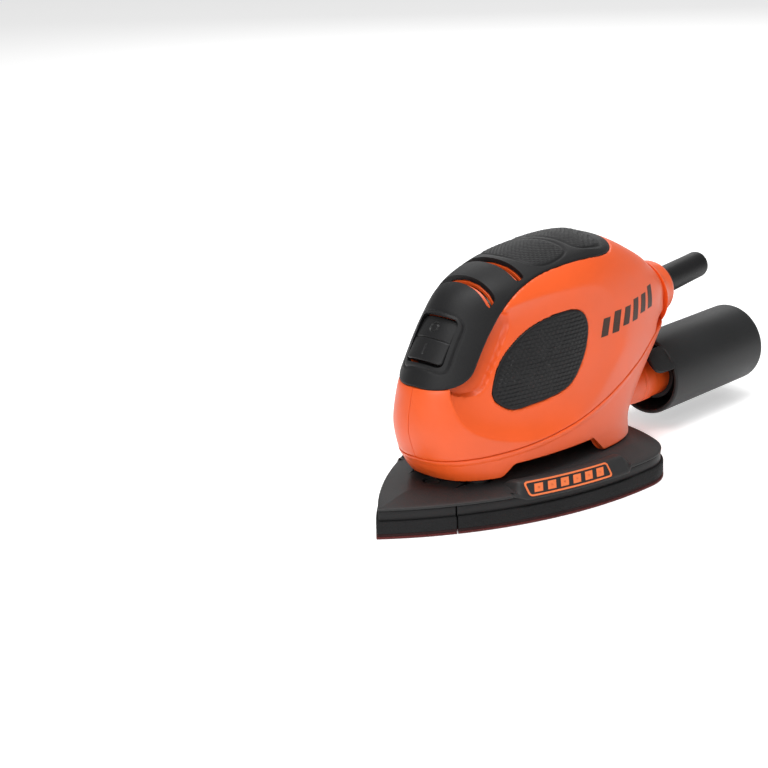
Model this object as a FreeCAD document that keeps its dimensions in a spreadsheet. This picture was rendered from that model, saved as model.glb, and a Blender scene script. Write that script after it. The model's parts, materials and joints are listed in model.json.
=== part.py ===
import FreeCAD, Part
import math
import os
import re
import Sketcher

# Detail mouse sander.
# Frame: +X towards the tail (cord and dust outlet), -X towards the pointed tip, +Z up.
# The origin is under the middle of the base, on the sanding face. Millimetres throughout.

Vector = FreeCAD.Vector
X_AXIS = Vector(1, 0, 0)
Y_AXIS = Vector(0, 1, 0)
Z_AXIS = Vector(0, 0, 1)

doc = FreeCAD.newDocument("DetailSander")
sheet = doc.addObject("Spreadsheet::Sheet", "dims")

DIMENSIONS = {
    # base, seen from above: two side arcs from the tip, two corner arcs and a rear arc
    "base_front": 70.0,
    "base_rear": 70.0,
    "base_half_width": 47.5,
    "base_widest_x": 42.0,
    "base_corner_radius": 22.0,
    # layers of the base, from the floor up
    "paper_thickness": 0.9,
    "hook_top": 2.0,
    "foam_top": 7.0,
    "plate_top": 11.0,
    "cover_edge_top": 11.6,
    "cover_top": 15.0,
    "cover_slope": 12.0,
    "tip_split_x": 47.0,
    "tip_split_half_width": 21.5,
    "tip_back_x": 27.0,
    "tip_gap": 0.4,
    "shoulder_front": 23.0,
    "shoulder_rear": 33.0,
    "shoulder_bottom": 9.6,
    "shoulder_top": 16.2,
    "shoulder_slope": 3.6,
    "badge_centre_x": 1.5,
    "badge_length": 38.0,
    "badge_thickness": 0.8,
    # housing
    "wall": 3.2,
    "grip_thickness": 1.6,
    "cap_front_u": 8.0,
    "cap_rear_u": 112.0,
    "cap_half_width": 18.0,
    "cap_rear_half_width": 20.5,
    "vent_width": 4.4,
    "vent_half_length": 16.0,
    "front_vent_x": -17.5,
    "top_vent_x": -1.8,
    "scoop_long": 50.0,
    "scoop_high": 33.0,
    "scoop_across": 14.0,
    "scoop_depth": 3.4,
    "scoop_x": -2.0,
    "scoop_z": 60.0,
    "web_bottom": 22.0,
    "web_thickness": 2.5,
    "web_opening_radius": 18.5,
    "skirt_bottom": 17.0,
    "foot_front": 27.0,
    "gap_front": -19.0,
    # cord guard
    "guard_x": 108.0,
    "guard_z": 63.0,
    "guard_tilt": 5.0,
    "guard_radius": 6.3,
    "guard_end_radius": 5.5,
    "guard_length": 30.0,
    "cord_radius": 3.5,
    "boss_radius": 12.3,
    "boss_depth": 14.0,
    # dust outlet
    "spigot_z": 23.0,
    "spigot_radius": 9.5,
    "spigot_bore_radius": 7.5,
    "spigot_start": 60.0,
    "spigot_end": 120.0,
    "adapter_front": 99.0,
    "adapter_length": 65.0,
    "adapter_radius": 17.5,
    "adapter_bore_radius": 15.5,
    "adapter_recess": 20.5,
    "adapter_clearance": 0.06,
    # motor, with its axis upright
    "motor_x": 8.0,
    "eccentricity": 0.9,
    "can_radius": 19.0,
    "can_wall": 1.4,
    "can_bottom": 38.0,
    "can_top": 76.0,
    "magnet_thickness": 3.7,
    "rotor_radius": 13.3,
    "rotor_bottom": 47.0,
    "rotor_top": 66.0,
    "shaft_radius": 3.0,
    "fan_radius": 25.0,
    "fan_bottom": 27.0,
    "fan_top": 35.0,
    "weight_radius": 16.0,
    "weight_bottom": 18.6,
    "weight_top": 25.6,
    "pin_radius": 4.0,
    "pin_bottom": 11.0,
    # rocker switch
    "rocker_x": -38.7,
    "rocker_z": 71.5,
    "rocker_tilt": 31.5,
    "rocker_half_width": 8.0,
    "rocker_half_height": 9.2,
    "rocker_depth": 7.2,
    "rocker_throw": 10.0,
    "rocker_gap": 0.7,
}

# Level sections of the housing, bottom to top: height, nose x, tail x, half width,
# x of the widest place, roundness of the tail and roundness of the sides.
HOUSING_LEVELS = [
    (15.5, -38.0, 66.0, 32.0, 25.0, 3.0, 2.8),
    (22.0, -43.5, 69.0, 31.5, 20.0, 2.6, 2.6),
    (30.0, -48.0, 77.0, 31.5, 14.0, 2.2, 2.4),
    (40.0, -50.5, 90.5, 31.5, 12.0, 1.9, 2.2),
    (52.0, -48.5, 101.5, 31.5, 14.0, 1.8, 2.1),
    (65.0, -42.5, 103.0, 30.0, 20.0, 1.8, 2.1),
    (78.0, -34.5, 91.5, 27.5, 26.0, 1.8, 2.1),
    (88.0, -26.0, 75.5, 24.0, 32.0, 1.8, 2.1),
    (95.0, -9.0, 61.0, 18.0, 36.0, 1.8, 2.1),
    (99.0, 16.0, 49.0, 8.5, 38.0, 1.8, 2.1),
    (100.0, 29.0, 43.5, 3.5, 38.0, 1.8, 2.1),
]
LEVEL_COLUMNS = ("level_height", "level_nose", "level_tail", "level_half_width", "level_widest_x",
                 "level_tail_roundness", "level_side_roundness")


def fill_sheet():
    """Write every driving dimension to the sheet: the plain ones in B, the level table from D on."""
    for row, (word, value) in enumerate(DIMENSIONS.items(), start=1):
        sheet.set("A%d" % row, word.replace("_", " "))
        sheet.set("B%d" % row, str(value))
        sheet.setAlias("B%d" % row, word)
    for row, level in enumerate(HOUSING_LEVELS, start=1):
        for column, word, value in zip("DEFGHIJ", LEVEL_COLUMNS, level):
            sheet.set("%s%d" % (column, row), str(value))
            sheet.setAlias("%s%d" % (column, row), "%s_%02d" % (word, row))
    doc.recompute()


fill_sheet()


def linked(text):
    """Turn the plain words of an expression into references to the sheet."""
    functions = ("sqrt", "sin", "cos", "tan", "deg", "pi")
    return re.sub(r"[a-z_]\w*", lambda m: m.group(0) if m.group(0) in functions else "dims." + m.group(0),
                  str(text))


def size(text):
    """The present value of an expression over the sheet."""
    value = sheet.evalExpression(linked(text))
    return float(getattr(value, "Value", value))


def bind(item, prop, text):
    item.setExpression(prop, linked(text))


def place(item, at=("0", "0", "0"), turn_axis=None, turn=0.0):
    """Bind an item's position to the sheet; the turn is a fixed angle about a fixed axis."""
    base = Vector(*[size(text) for text in at])
    rotation = FreeCAD.Rotation(turn_axis, turn) if turn_axis else FreeCAD.Rotation()
    item.Placement = FreeCAD.Placement(base, rotation)
    for letter, text in zip("xyz", at):
        if re.search("[a-z]", str(text)):
            bind(item, ".Placement.Base." + letter, text)
    return item


def cylinder(label, radius, height, at=("0", "0", "0"), along="z"):
    item = doc.addObject("Part::Cylinder", label)
    bind(item, "Radius", radius)
    bind(item, "Height", height)
    turns = {"z": (None, 0.0), "x": (Y_AXIS, 90.0), "y": (X_AXIS, -90.0)}
    return place(item, at, *turns[along])


def box(label, low, high):
    """A box between two corners, each given as three expressions."""
    item = doc.addObject("Part::Box", label)
    for prop, first, last in zip(("Length", "Width", "Height"), low, high):
        bind(item, prop, "(%s) - (%s)" % (last, first))
    return place(item, low)


def cut(label, base, *tools):
    item = doc.addObject("Part::Cut", label)
    item.Base = base
    item.Tool = tools[0] if len(tools) == 1 else fuse(label + "_tools", *tools)
    return item


def fuse(label, *parts):
    item = doc.addObject("Part::MultiFuse", label)
    item.Shapes = list(parts)
    return item


def common(label, *parts):
    item = doc.addObject("Part::MultiCommon", label)
    item.Shapes = list(parts)
    return item


def group(label, *parts):
    item = doc.addObject("Part::Compound", label)
    item.Links = list(parts)
    return item


def new_sketch(body, plane="XY_Plane", height="0"):
    """A sketch on one of the body's own origin planes, lifted along the plane's normal."""
    sketch = body.newObject("Sketcher::SketchObject", body.Name + "_sketch")
    support = [item for item in body.Origin.OriginFeatures if item.Role == plane][0]
    sketch.AttachmentSupport = [(support, "")]
    sketch.MapMode = "FlatFace"
    if height != "0":
        bind(sketch, ".AttachmentOffset.Base.z", height)
    return sketch


def pin_point(sketch, edge, end, across, up):
    """Hold one end of a sketch edge at a place given by two expressions."""
    for kind, axis, text in (("DistanceX", -2, across), ("DistanceY", -1, up)):
        value = size(text)
        if abs(value) < 1e-9:
            sketch.addConstraint(Sketcher.Constraint("PointOnObject", edge, end, axis))
        else:
            number = sketch.addConstraint(Sketcher.Constraint(kind, -1, 1, edge, end, value))
            bind(sketch, "Constraints[%d]" % number, text)


def draw_polygon(sketch, points):
    """A closed outline of straight edges through points given as pairs of expressions."""
    corners = [Vector(size(a), size(b), 0) for a, b in points]
    count = len(points)
    for i in range(count):
        sketch.addGeometry(Part.LineSegment(corners[i], corners[(i + 1) % count]))
    for i in range(count):
        sketch.addConstraint(Sketcher.Constraint("Coincident", i, 2, (i + 1) % count, 1))
    for i, (across, up) in enumerate(points):
        pin_point(sketch, i, 1, across, up)


def turned(label, points, at=("0", "0", "0"), turn_axis=None, turn=0.0):
    """A body of revolution about its own Z, from a profile of (radius, height) pairs."""
    body = doc.addObject("PartDesign::Body", label)
    sketch = new_sketch(body, "XZ_Plane")
    draw_polygon(sketch, points)
    sketch.recompute()
    revolution = body.newObject("PartDesign::Revolution", label + "_revolution")
    revolution.Profile = sketch
    revolution.ReferenceAxis = (sketch, ["V_Axis"])
    revolution.Angle = 360.0
    place(body, at, turn_axis, turn)
    return body


def tube(label, outer, inner, height, at=("0", "0", "0")):
    points = [(inner, "0"), (outer, "0"), (outer, height), (inner, height)]
    return turned(label, points, at)


def prism(label, points, length, plane="XY_Plane", at=("0", "0", "0"), both_ways=False,
          turn_axis=None, turn=0.0):
    """A straight-edged outline padded along the plane's normal."""
    body = doc.addObject("PartDesign::Body", label)
    sketch = new_sketch(body, plane)
    draw_polygon(sketch, points)
    sketch.recompute()
    pad = body.newObject("PartDesign::Pad", label + "_pad")
    pad.Profile = sketch
    pad.Midplane = both_ways
    bind(pad, "Length", length)
    place(body, at, turn_axis, turn)
    return body


# ---------------------------------------------------------------- base outline

def base_outline(sketch, inset):
    """Five arcs: left side, left corner, rear, right corner, right side. The tip is a sharp corner."""
    inset_size = size(inset)
    width = size("base_half_width")
    widest = size("base_widest_x")
    front = widest + size("base_front")
    back = size("base_rear") - widest
    corner = size("base_corner_radius")
    side = (front ** 2 + width ** 2) / (2 * width)
    rear = (2 * width * corner - back ** 2 - width ** 2) / (2 * (corner - back))
    side_text = "((base_widest_x + base_front)^2 + base_half_width^2) / (2 * base_half_width)"
    back_text = "(base_rear - base_widest_x)"
    rear_text = ("(2 * base_half_width * base_corner_radius - %s^2 - base_half_width^2)"
                 " / (2 * (base_corner_radius - %s))" % (back_text, back_text))
    rear_centre = widest + back - rear
    corner_turn = math.atan2(width - corner, widest - rear_centre)
    tip_turn = math.acos((side - width) / (side - inset_size))
    centres = [(widest, side - width, side), (widest, corner - width, corner), (rear_centre, 0.0, rear),
               (widest, width - corner, corner), (widest, width - side, side)]
    quarter = math.pi / 2
    spans = [(-quarter - tip_turn, -quarter), (-quarter, -corner_turn), (-corner_turn, corner_turn),
             (corner_turn, quarter), (quarter, quarter + tip_turn)]
    texts = [("base_widest_x", side_text + " - base_half_width", side_text),
             ("base_widest_x", "base_corner_radius - base_half_width", "base_corner_radius"),
             ("base_rear - " + rear_text, "0", rear_text),
             ("base_widest_x", "base_half_width - base_corner_radius", "base_corner_radius"),
             ("base_widest_x", "base_half_width - " + side_text, side_text)]
    for (x, y, radius), (start, end) in zip(centres, spans):
        circle = Part.Circle(Vector(x, y, 0), Z_AXIS, radius - inset_size)
        sketch.addGeometry(Part.ArcOfCircle(circle, start, end))
    for i in range(4):
        sketch.addConstraint(Sketcher.Constraint("Tangent", i, 2, i + 1, 1))
    sketch.addConstraint(Sketcher.Constraint("Coincident", 4, 2, 0, 1))
    for i, (x, y, radius) in enumerate(texts):
        if i in (0, 4):
            pin_point(sketch, i, 3, x, y)
        else:
            number = sketch.addConstraint(Sketcher.Constraint("DistanceX", -1, 1, i, 3, size(x)))
            bind(sketch, "Constraints[%d]" % number, x)
        if i != 2:
            number = sketch.addConstraint(Sketcher.Constraint("Radius", i, centres[i][2] - inset_size))
            bind(sketch, "Constraints[%d]" % number, "%s - (%s)" % (radius, inset))


def base_layer(label, bottom, top, inset="0"):
    """A flat layer with the base's outline."""
    body = doc.addObject("PartDesign::Body", label)
    sketch = new_sketch(body)
    base_outline(sketch, inset)
    sketch.recompute()
    pad = body.newObject("PartDesign::Pad", label + "_pad")
    pad.Profile = sketch
    bind(pad, "Length", "(%s) - (%s)" % (top, bottom))
    return place(body, ("0", "0", bottom))


def base_slope(label, bottom, bottom_inset, top, top_inset):
    """A layer with the base's outline whose edge slopes inwards as it rises."""
    body = doc.addObject("PartDesign::Body", label)
    lower = new_sketch(body, "XY_Plane", bottom)
    base_outline(lower, bottom_inset)
    upper = new_sketch(body, "XY_Plane", top)
    base_outline(upper, top_inset)
    lower.recompute()
    upper.recompute()
    loft = body.newObject("PartDesign::AdditiveLoft", label + "_loft")
    loft.Profile = lower
    loft.Sections = [upper]
    loft.Ruled = True
    return body


# ---------------------------------------------------------------- housing form

def level_wire(row, side, inset):
    """Half of one level section of the housing, closed along the middle plane."""
    values = [sheet.get("%s_%02d" % (word, row)) for word in LEVEL_COLUMNS]
    height, nose, tail, half, widest, tail_round, side_round = [float(value) for value in values]
    top = float(sheet.get("level_height_%02d" % len(HOUSING_LEVELS)))
    middle = float(sheet.get("level_height_05"))
    if inset and height > middle:
        height = middle + (height - middle) * (1 - inset / (top - middle))
    if inset and row == 1:
        height -= 2.0
    nose_round = 1.8
    points = []
    steps = 16
    for step in range(steps + 1):
        angle = math.pi * step / steps
        c, s = math.cos(angle), abs(math.sin(angle))
        if step in (0, steps):
            s = 0.0
        reach = (tail - inset - widest) if c > 0 else (widest - nose - inset)
        power = 2 / (tail_round if c > 0 else nose_round)
        x = widest + math.copysign(reach * abs(c) ** power, c)
        y = side * max(half - inset, half * 0.3) * s ** (2 / side_round)
        points.append(Vector(x, y, height))
    curve = Part.BSplineCurve()
    curve.interpolate(Points=points)
    return Part.Wire([curve.toShape(), Part.LineSegment(points[-1], points[0]).toShape()])


def housing_form(label, side, inset):
    """One half of the egg-like body of the housing, smaller all round by the inset."""
    item = doc.addObject("Part::Feature", label)
    wires = [level_wire(row, side, inset) for row in range(1, len(HOUSING_LEVELS) + 1)]
    item.Shape = Part.makeLoft(wires, True, False)
    return item


def rounded(body, radius):
    """Round every edge of a prism that runs along its pad."""
    pad = body.Tip
    pad.recompute()
    normal = pad.Profile[0].Placement.Rotation.multVec(Z_AXIS)
    names = []
    for number, edge in enumerate(pad.Shape.Edges, start=1):
        direction = edge.tangentAt(edge.FirstParameter)
        if abs(direction.dot(normal)) > 0.999:
            names.append("Edge%d" % number)
    fillet = body.newObject("PartDesign::Fillet", body.Name + "_rounding")
    fillet.Base = (pad, names)
    bind(fillet, "Radius", radius)
    return body


def finger_scoop(label, side, inset):
    """The hollow for the fingers: a long ellipsoid that dips into one side of the housing."""
    item = doc.addObject("Part::Ellipsoid", label)
    bind(item, "Radius1", "scoop_high + %g" % inset)
    bind(item, "Radius2", "scoop_long + %g" % inset)
    bind(item, "Radius3", "scoop_across + %g" % inset)
    item.Angle1, item.Angle2, item.Angle3 = -90, 90, 360
    centre_y = side * (31.0 - size("scoop_depth") + size("scoop_across"))
    item.Placement = FreeCAD.Placement(Vector(size("scoop_x"), centre_y, size("scoop_z")),
                                       FreeCAD.Rotation(Y_AXIS, -14.0))
    return item


SIDES = (("left", -1), ("right", 1))


def scooped(label, inset):
    """Both halves of the housing's form, each with its finger hollow."""
    halves = {}
    for name, side in SIDES:
        form = housing_form("%s_form_%s" % (label, name), side, inset)
        scoop = finger_scoop("%s_scoop_%s" % (label, name), side, inset)
        halves[name] = cut("%s_%s" % (label, name), form, scoop)
    return halves


outer_skin = scooped("outer_skin", 0.0)
grip_seat = scooped("grip_seat", size("grip_thickness"))
wall_middle = scooped("wall_middle", (size("grip_thickness") + size("wall")) / 2)
inner_skin = scooped("inner_skin", size("wall"))
grip_skin = {name: cut("grip_skin_" + name, outer_skin[name], grip_seat[name]) for name, side in SIDES}

# Everything above the side seam; its lower face is one long arc.
seam_region = prism("seam_region", [("-90", "27"), ("-50", "27"), ("-22", "28"), ("8", "31"), ("30", "35.3"),
                                    ("60", "43.4"), ("84", "52"), ("130", "52"), ("130", "130"),
                                    ("-90", "130")], "160", "XZ_Plane", both_ways=True)

GUARD_TURN = 90.0 - size("guard_tilt")


def on_guard_axis(label, points):
    """A turned piece on the cord's axis; heights are counted from the boss's end face."""
    return turned(label, points, ("guard_x", "0", "guard_z"), Y_AXIS, GUARD_TURN)


cord_boss = on_guard_axis("cord_boss", [("guard_radius", "-boss_depth"), ("boss_radius + 1.5", "-boss_depth"),
                                        ("boss_radius + 1.5", "-9"), ("boss_radius", "-4"),
                                        ("boss_radius - 3", "0"), ("guard_radius", "0")])
boss_space = on_guard_axis("boss_space", [("0", "-25"), ("boss_radius + 1.7", "-25"),
                                          ("boss_radius + 1.7", "2"), ("0", "2")])
guard_space = on_guard_axis("guard_space", [("0", "-boss_depth"), ("guard_radius", "-boss_depth"),
                                            ("guard_radius", "2"), ("0", "2")])
upper_region = fuse("upper_region", seam_region, boss_space)

# ---------------------------------------------------------------- soft grips and their seats

CAP_PLANE = -45.0
cap_outline = [("cap_front_u", "-cap_half_width"), ("80", "-cap_rear_half_width"),
               ("cap_rear_u", "-cap_rear_half_width"), ("cap_rear_u", "cap_rear_half_width"),
               ("80", "cap_rear_half_width"), ("cap_front_u", "cap_half_width")]
cap_prism = prism("cap_prism", cap_outline, "260", both_ways=True, turn_axis=Y_AXIS, turn=CAP_PLANE)
rounded(cap_prism, "15")
cap_limit = prism("cap_limit", [("-70", "48"), ("90", "80"), ("90", "130"), ("-70", "130")], "120",
                  "XZ_Plane", both_ways=True)
cap_space = common("cap_space", cap_prism, cap_limit)


def side_pad_space(label, side):
    """The outline of the finger pad, seen from the side, carried through one side of the housing."""
    outline = [("-26", "56"), ("-22", "45"), ("9", "44"), ("18", "53"), ("24", "74"), ("15", "77"),
               ("-8", "75")]
    body = prism(label, outline, "30", "XZ_Plane", ("0", "%d" % (side * 30), "0"), both_ways=True)
    return rounded(body, "4")


pad_space_left = side_pad_space("pad_space_left", -1)
pad_space_right = side_pad_space("pad_space_right", 1)


def vent(label, x_word):
    """A cooling slot across the crest, cut at right angles to the cap's slope."""
    return box(label, (x_word + " - vent_width / 2", "-vent_half_length", "70"),
               (x_word + " + vent_width / 2", "vent_half_length", "120"))


front_vent = vent("front_vent", "front_vent_x")
top_vent = vent("top_vent", "top_vent_x")

ROCKER_TURN = size("rocker_tilt") - 90.0


def on_rocker_axes(label, low, high):
    """A box in the switch's own axes: up the nose, across, and out of the nose."""
    item = box(label, ("0", "0", "0"), [("(%s) - (%s)" % (b, a)) for a, b in zip(low, high)])
    turn = FreeCAD.Rotation(Y_AXIS, ROCKER_TURN)
    corner = Vector(*[size(text) for text in low])
    centre = Vector(size("rocker_x"), 0, size("rocker_z"))
    item.Placement = FreeCAD.Placement(centre + turn.multVec(corner), turn)
    return item


rocker_space = on_rocker_axes("rocker_space",
                              ("-rocker_half_height - rocker_gap", "-rocker_half_width - 0.3", "-8"),
                              ("rocker_half_height + rocker_gap", "rocker_half_width + 0.3", "12"))

module_room = fuse("module_room",
                   on_rocker_axes("block_room", ("-10.2", "-rocker_half_width - 2.2", "-22.5"),
                                  ("10.2", "rocker_half_width + 2.2", "-9.8")),
                   on_rocker_axes("cheek_room", ("-4.7", "-rocker_half_width - 1.7", "-10.6"),
                                  ("4.7", "rocker_half_width + 1.7", "-5.05")))

cap_halves = [common("cap_skin_" + name, grip_skin[name], cap_space) for name, side in SIDES]
cut("top_grip", fuse("cap_skin", *cap_halves), front_vent, top_vent, rocker_space)
pad_space = {"left": pad_space_left, "right": pad_space_right}
for name, side in SIDES:
    common("side_grip_" + name, grip_skin[name], pad_space[name])

# ---------------------------------------------------------------- housing halves

SCREW_PLACES = [(-38.0, 38.0), (36.0, 42.0), (62.0, 82.0), (76.0, 54.6)]
SHROUD_SCREWS = [(-34.4, -8.0, 29.0), (-34.4, 8.0, 29.0), (56.0, -14.0, 42.0), (56.0, 14.0, 42.0)]


def spot(*values):
    return tuple("%g" % value for value in values)


motor_ribs = []
for name, low_z in (("lower_rib", 44), ("upper_rib", 70)):
    motor_ribs.append(box(name, ("motor_x - 25", "-40", "%d" % low_z), ("motor_x + 27", "40", "%d + 3" % low_z)))
ring_space = cylinder("ring_space", "can_radius + 2.5", "50", ("motor_x", "0", "36"))
ribs = cut("ribs", fuse("rib_plates", *motor_ribs), ring_space)

screw_posts = [cylinder("screw_post_%d" % i, "4", "80", spot(x, -40, z), "y")
               for i, (x, z) in enumerate(SCREW_PLACES, start=1)]
front_shelf = box("front_shelf", ("-60", "-40", "38"), ("-32", "40", "40"))
rear_shelf = box("rear_shelf", ("50", "-40", "50"), ("62", "40", "52"))
clamp_shelf = box("clamp_shelf", ("82", "-40", "55"), ("90.5", "40", "guard_z - cord_radius - 2"))
shroud_posts = [cylinder("shroud_post_%d" % i, "4", "%g" % (10 if x > 0 else 11), spot(x, y, z))
                for i, (x, y, z) in enumerate(SHROUD_SCREWS, start=1)]
inside_parts = fuse("inside_parts", ribs, front_shelf, rear_shelf, clamp_shelf, *(screw_posts + shroud_posts))

screw_holes = []
for i, (x, z) in enumerate(SCREW_PLACES, start=1):
    screw_holes.append(cylinder("screw_hole_%d" % i, "1.5", "26", spot(x, -12, z), "y"))
    screw_holes.append(cylinder("screw_well_%d" % i, "3.4", "40", spot(x, 10, z), "y"))
for i, (x, y, z) in enumerate(SHROUD_SCREWS, start=1):
    screw_holes.append(cylinder("shroud_hole_%d" % i, "1.5", "28.5", spot(x, y, 21)))
for side, name in ((-1, "left"), (1, "right")):
    screw_holes.append(cylinder("clamp_hole_" + name, "1.2", "12", spot(86.5, side * 8.4, 54)))

half_space = {"left": box("left_half", ("-80", "-60", "0"), ("140", "0", "130")),
              "right": box("right_half", ("-80", "0", "0"), ("140", "60", "130"))}
for name, side in SIDES:
    skin = cut("skin_without_grips_" + name, outer_skin[name], cap_space, pad_space[name])
    block = fuse("shell_block_" + name, grip_seat[name], skin)
    wall = cut("shell_wall_" + name, block, inner_skin[name])
    inside = common("inside_" + name, inside_parts, wall_middle[name])
    boss = common("cord_boss_" + name, cord_boss, half_space[name])
    whole = fuse("shell_whole_" + name, common("shell_upper_" + name, fuse("shell_fitted_" + name, wall, inside),
                                               upper_region), boss)
    cut("housing_" + name, whole, front_vent, top_vent, rocker_space, module_room,
        guard_space, *screw_holes)

# ---------------------------------------------------------------- lower shroud

LEG_PLACES = [("front_left", -26.0, -13.0), ("front_right", -26.0, 13.0),
              ("rear_left", 46.0, -15.0), ("rear_right", 46.0, 15.0)]
LEG_RADIUS = "4.5"

web = box("web", ("-60", "-50", "web_bottom"), ("66", "50", "web_bottom + web_thickness"))
shroud_bosses = [cylinder("shroud_boss_%d" % i, "4", "%g - web_bottom" % z, spot(x, y, 22))
                 for i, (x, y, z) in enumerate(SHROUD_SCREWS, start=1)]
shroud_halves = []
for name, side in SIDES:
    wall = cut("shroud_wall_" + name, outer_skin[name], upper_region, inner_skin[name])
    floor = common("shroud_floor_" + name, web, wall_middle[name])
    shroud_halves.append(fuse("shroud_half_" + name, wall, floor))
web_opening = cylinder("web_opening", "web_opening_radius", "20", ("motor_x", "0", "web_bottom - 10"))
front_trim = box("front_trim", ("-80", "-60", "0"), ("foot_front", "60", "skirt_bottom"))
gap_trim = prism("gap_trim", [("gap_front - 4", "0"), ("gap_front - 4", "skirt_bottom"),
                              ("gap_front + 2", "web_bottom"), ("foot_front - 1", "web_bottom"),
                              ("foot_front", "10"), ("foot_front", "0")], "160", "XZ_Plane", both_ways=True)
spigot_space = cylinder("spigot_space", "spigot_radius", "40", ("spigot_start", "0", "spigot_z"), "x")
collar_space = cylinder("collar_space", "spigot_radius + 0.5", "40", ("71.5", "0", "spigot_z"), "x")
leg_holes = [cylinder("leg_hole_" + name, LEG_RADIUS, "12", spot(x, y, 16)) for name, x, y in LEG_PLACES]
shroud_screw_holes = [cylinder("shroud_clear_%d" % i, "1.5", "%g" % (z - 18), spot(x, y, 20))
                      for i, (x, y, z) in enumerate(SHROUD_SCREWS, start=1)]
lower_shroud = cut("lower_shroud", fuse("shroud_whole", *(shroud_halves + shroud_bosses)), web_opening,
                   front_trim, gap_trim, spigot_space, collar_space, *(leg_holes + shroud_screw_holes))

housing_screws = []
for i, (x, z) in enumerate(SCREW_PLACES, start=1):
    shank = cylinder("housing_screw_shank_%d" % i, "1.5", "21", spot(x, -11, z), "y")
    head = cylinder("housing_screw_head_%d" % i, "3", "2.4", spot(x, 10, z), "y")
    drive = cylinder("housing_screw_drive_%d" % i, "1.3", "2", spot(x, 11.2, z), "y")
    housing_screws.append(cut("housing_screw_%d" % i, fuse("housing_screw_blank_%d" % i, shank, head), drive))
group("housing_screws", *housing_screws)

shroud_screws = []
for i, (x, y, z) in enumerate(SHROUD_SCREWS, start=1):
    shank = cylinder("shroud_screw_shank_%d" % i, "1.5", "%g" % (z + 6 - 21), spot(x, y, 21))
    head = cylinder("shroud_screw_head_%d" % i, "2.8", "1.8", spot(x, y, 20.2))
    shroud_screws.append(fuse("shroud_screw_%d" % i, shank, head))
group("shroud_screws", *shroud_screws)

for name, x, y in LEG_PLACES:
    turned("flex_leg_" + name, [("0", "12.4"), (LEG_RADIUS, "12.4"), (LEG_RADIUS, "24.5"), ("5.6", "24.5"),
                                ("5.6", "26.6"), ("0", "26.6")], spot(x, y, 0))

# ---------------------------------------------------------------- cord guard, clamp and dust outlet

on_guard_axis("cord_guard", [("cord_radius", "-boss_depth - 3"), ("8.2", "-boss_depth - 3"),
                             ("8.2", "-boss_depth"), ("guard_radius", "-boss_depth"),
                             ("guard_radius", "1"), ("guard_end_radius", "guard_length - 4"),
                             ("guard_end_radius + 0.5", "guard_length - 3"),
                             ("guard_end_radius + 0.5", "guard_length - 0.6"),
                             ("guard_end_radius", "guard_length"), ("cord_radius", "guard_length")])

clamp_block = box("clamp_block", ("84", "-10.9", "guard_z - cord_radius - 2"), ("89", "10.9", "67"))
clamp_saddle = cylinder("clamp_saddle", "cord_radius", "20", ("78", "0", "guard_z - 2.6"), "x")
clamp_drills = [cylinder("clamp_drill_" + name, "1.2", "14", spot(86.5, side * 8.4, 56))
                for side, name in ((-1, "left"), (1, "right"))]
cord_clamp = cut("cord_clamp", clamp_block, clamp_saddle, *clamp_drills)
clamp_screws = []
for side, name in ((-1, "left"), (1, "right")):
    shank = cylinder("clamp_shank_" + name, "1.2", "12", spot(86.5, side * 8.4, 55.2))
    head = cylinder("clamp_head_" + name, "2.4", "1.6", spot(86.5, side * 8.4, 67))
    clamp_screws.append(fuse("clamp_screw_" + name, shank, head))
group("cord_clamp_screws", *clamp_screws)


def on_spigot_axis(label, points):
    """A turned piece on the dust outlet's axis, its heights counted along +X from the origin."""
    return turned(label, points, ("0", "0", "spigot_z"), Y_AXIS, 90.0)


on_spigot_axis("dust_spigot", [("spigot_bore_radius", "spigot_start + 6"), ("spigot_radius", "spigot_start + 6"),
                               ("spigot_radius", "71.5"), ("spigot_radius + 0.5", "71.5"),
                               ("spigot_radius + 0.5", "88"), ("spigot_radius", "88.3"),
                               ("spigot_radius", "88.9"), ("spigot_radius + 0.5", "89.2"),
                               ("spigot_radius + 0.5", "95"), ("spigot_radius", "95.3"),
                               ("spigot_radius", "spigot_end"), ("spigot_bore_radius", "spigot_end")])

adapter_web = "adapter_front + adapter_recess"
adapter_end = "adapter_front + adapter_length"
sleeve = "spigot_radius + adapter_clearance"
adapter_body = on_spigot_axis("adapter_body", [
    (sleeve, "adapter_front + 5"), ("spigot_radius + 2", "adapter_front + 5"),
    ("spigot_radius + 2", adapter_web), ("adapter_radius - 2", adapter_web),
    ("adapter_radius - 2", "adapter_front + 0.6"), ("adapter_radius - 1.4", "adapter_front"),
    ("adapter_radius - 0.6", "adapter_front"), ("adapter_radius", "adapter_front + 0.6"),
    ("adapter_radius", adapter_end), ("adapter_bore_radius", adapter_end),
    ("adapter_bore_radius", adapter_web + " + 2.5"), (sleeve, adapter_web + " + 2.5")])
adapter_lugs = []
for name, turn in (("left", 48.0), ("right", -48.0)):
    lug = prism("adapter_lug_" + name, [("93", "-5.5"), ("104", "-5.5"), ("108", "-2.5"), ("108", "2.5"),
                                        ("104", "5.5"), ("93", "5.5")], "2.4")
    lift = FreeCAD.Rotation(X_AXIS, turn)
    lug.Placement = FreeCAD.Placement(Vector(0, 0, size("spigot_z")) + lift.multVec(Vector(0, 0, 15.6)), lift)
    adapter_lugs.append(lug)
fuse("dust_adapter", adapter_body, *adapter_lugs)

# ---------------------------------------------------------------- rocker switch

PIVOT = FreeCAD.Vector(0, 0, -size("rocker_depth"))
rest_turn = FreeCAD.Rotation(Y_AXIS, ROCKER_TURN)
rocker_centre = Vector(size("rocker_x"), 0, size("rocker_z"))


def rocked(item, degrees):
    """Turn an item of the switch about the rocker's pivot, away from its middle position."""
    tip = FreeCAD.Placement(Vector(), FreeCAD.Rotation(Y_AXIS, degrees), PIVOT)
    item.Placement = FreeCAD.Placement(rocker_centre, rest_turn).multiply(tip)
    return item


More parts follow.
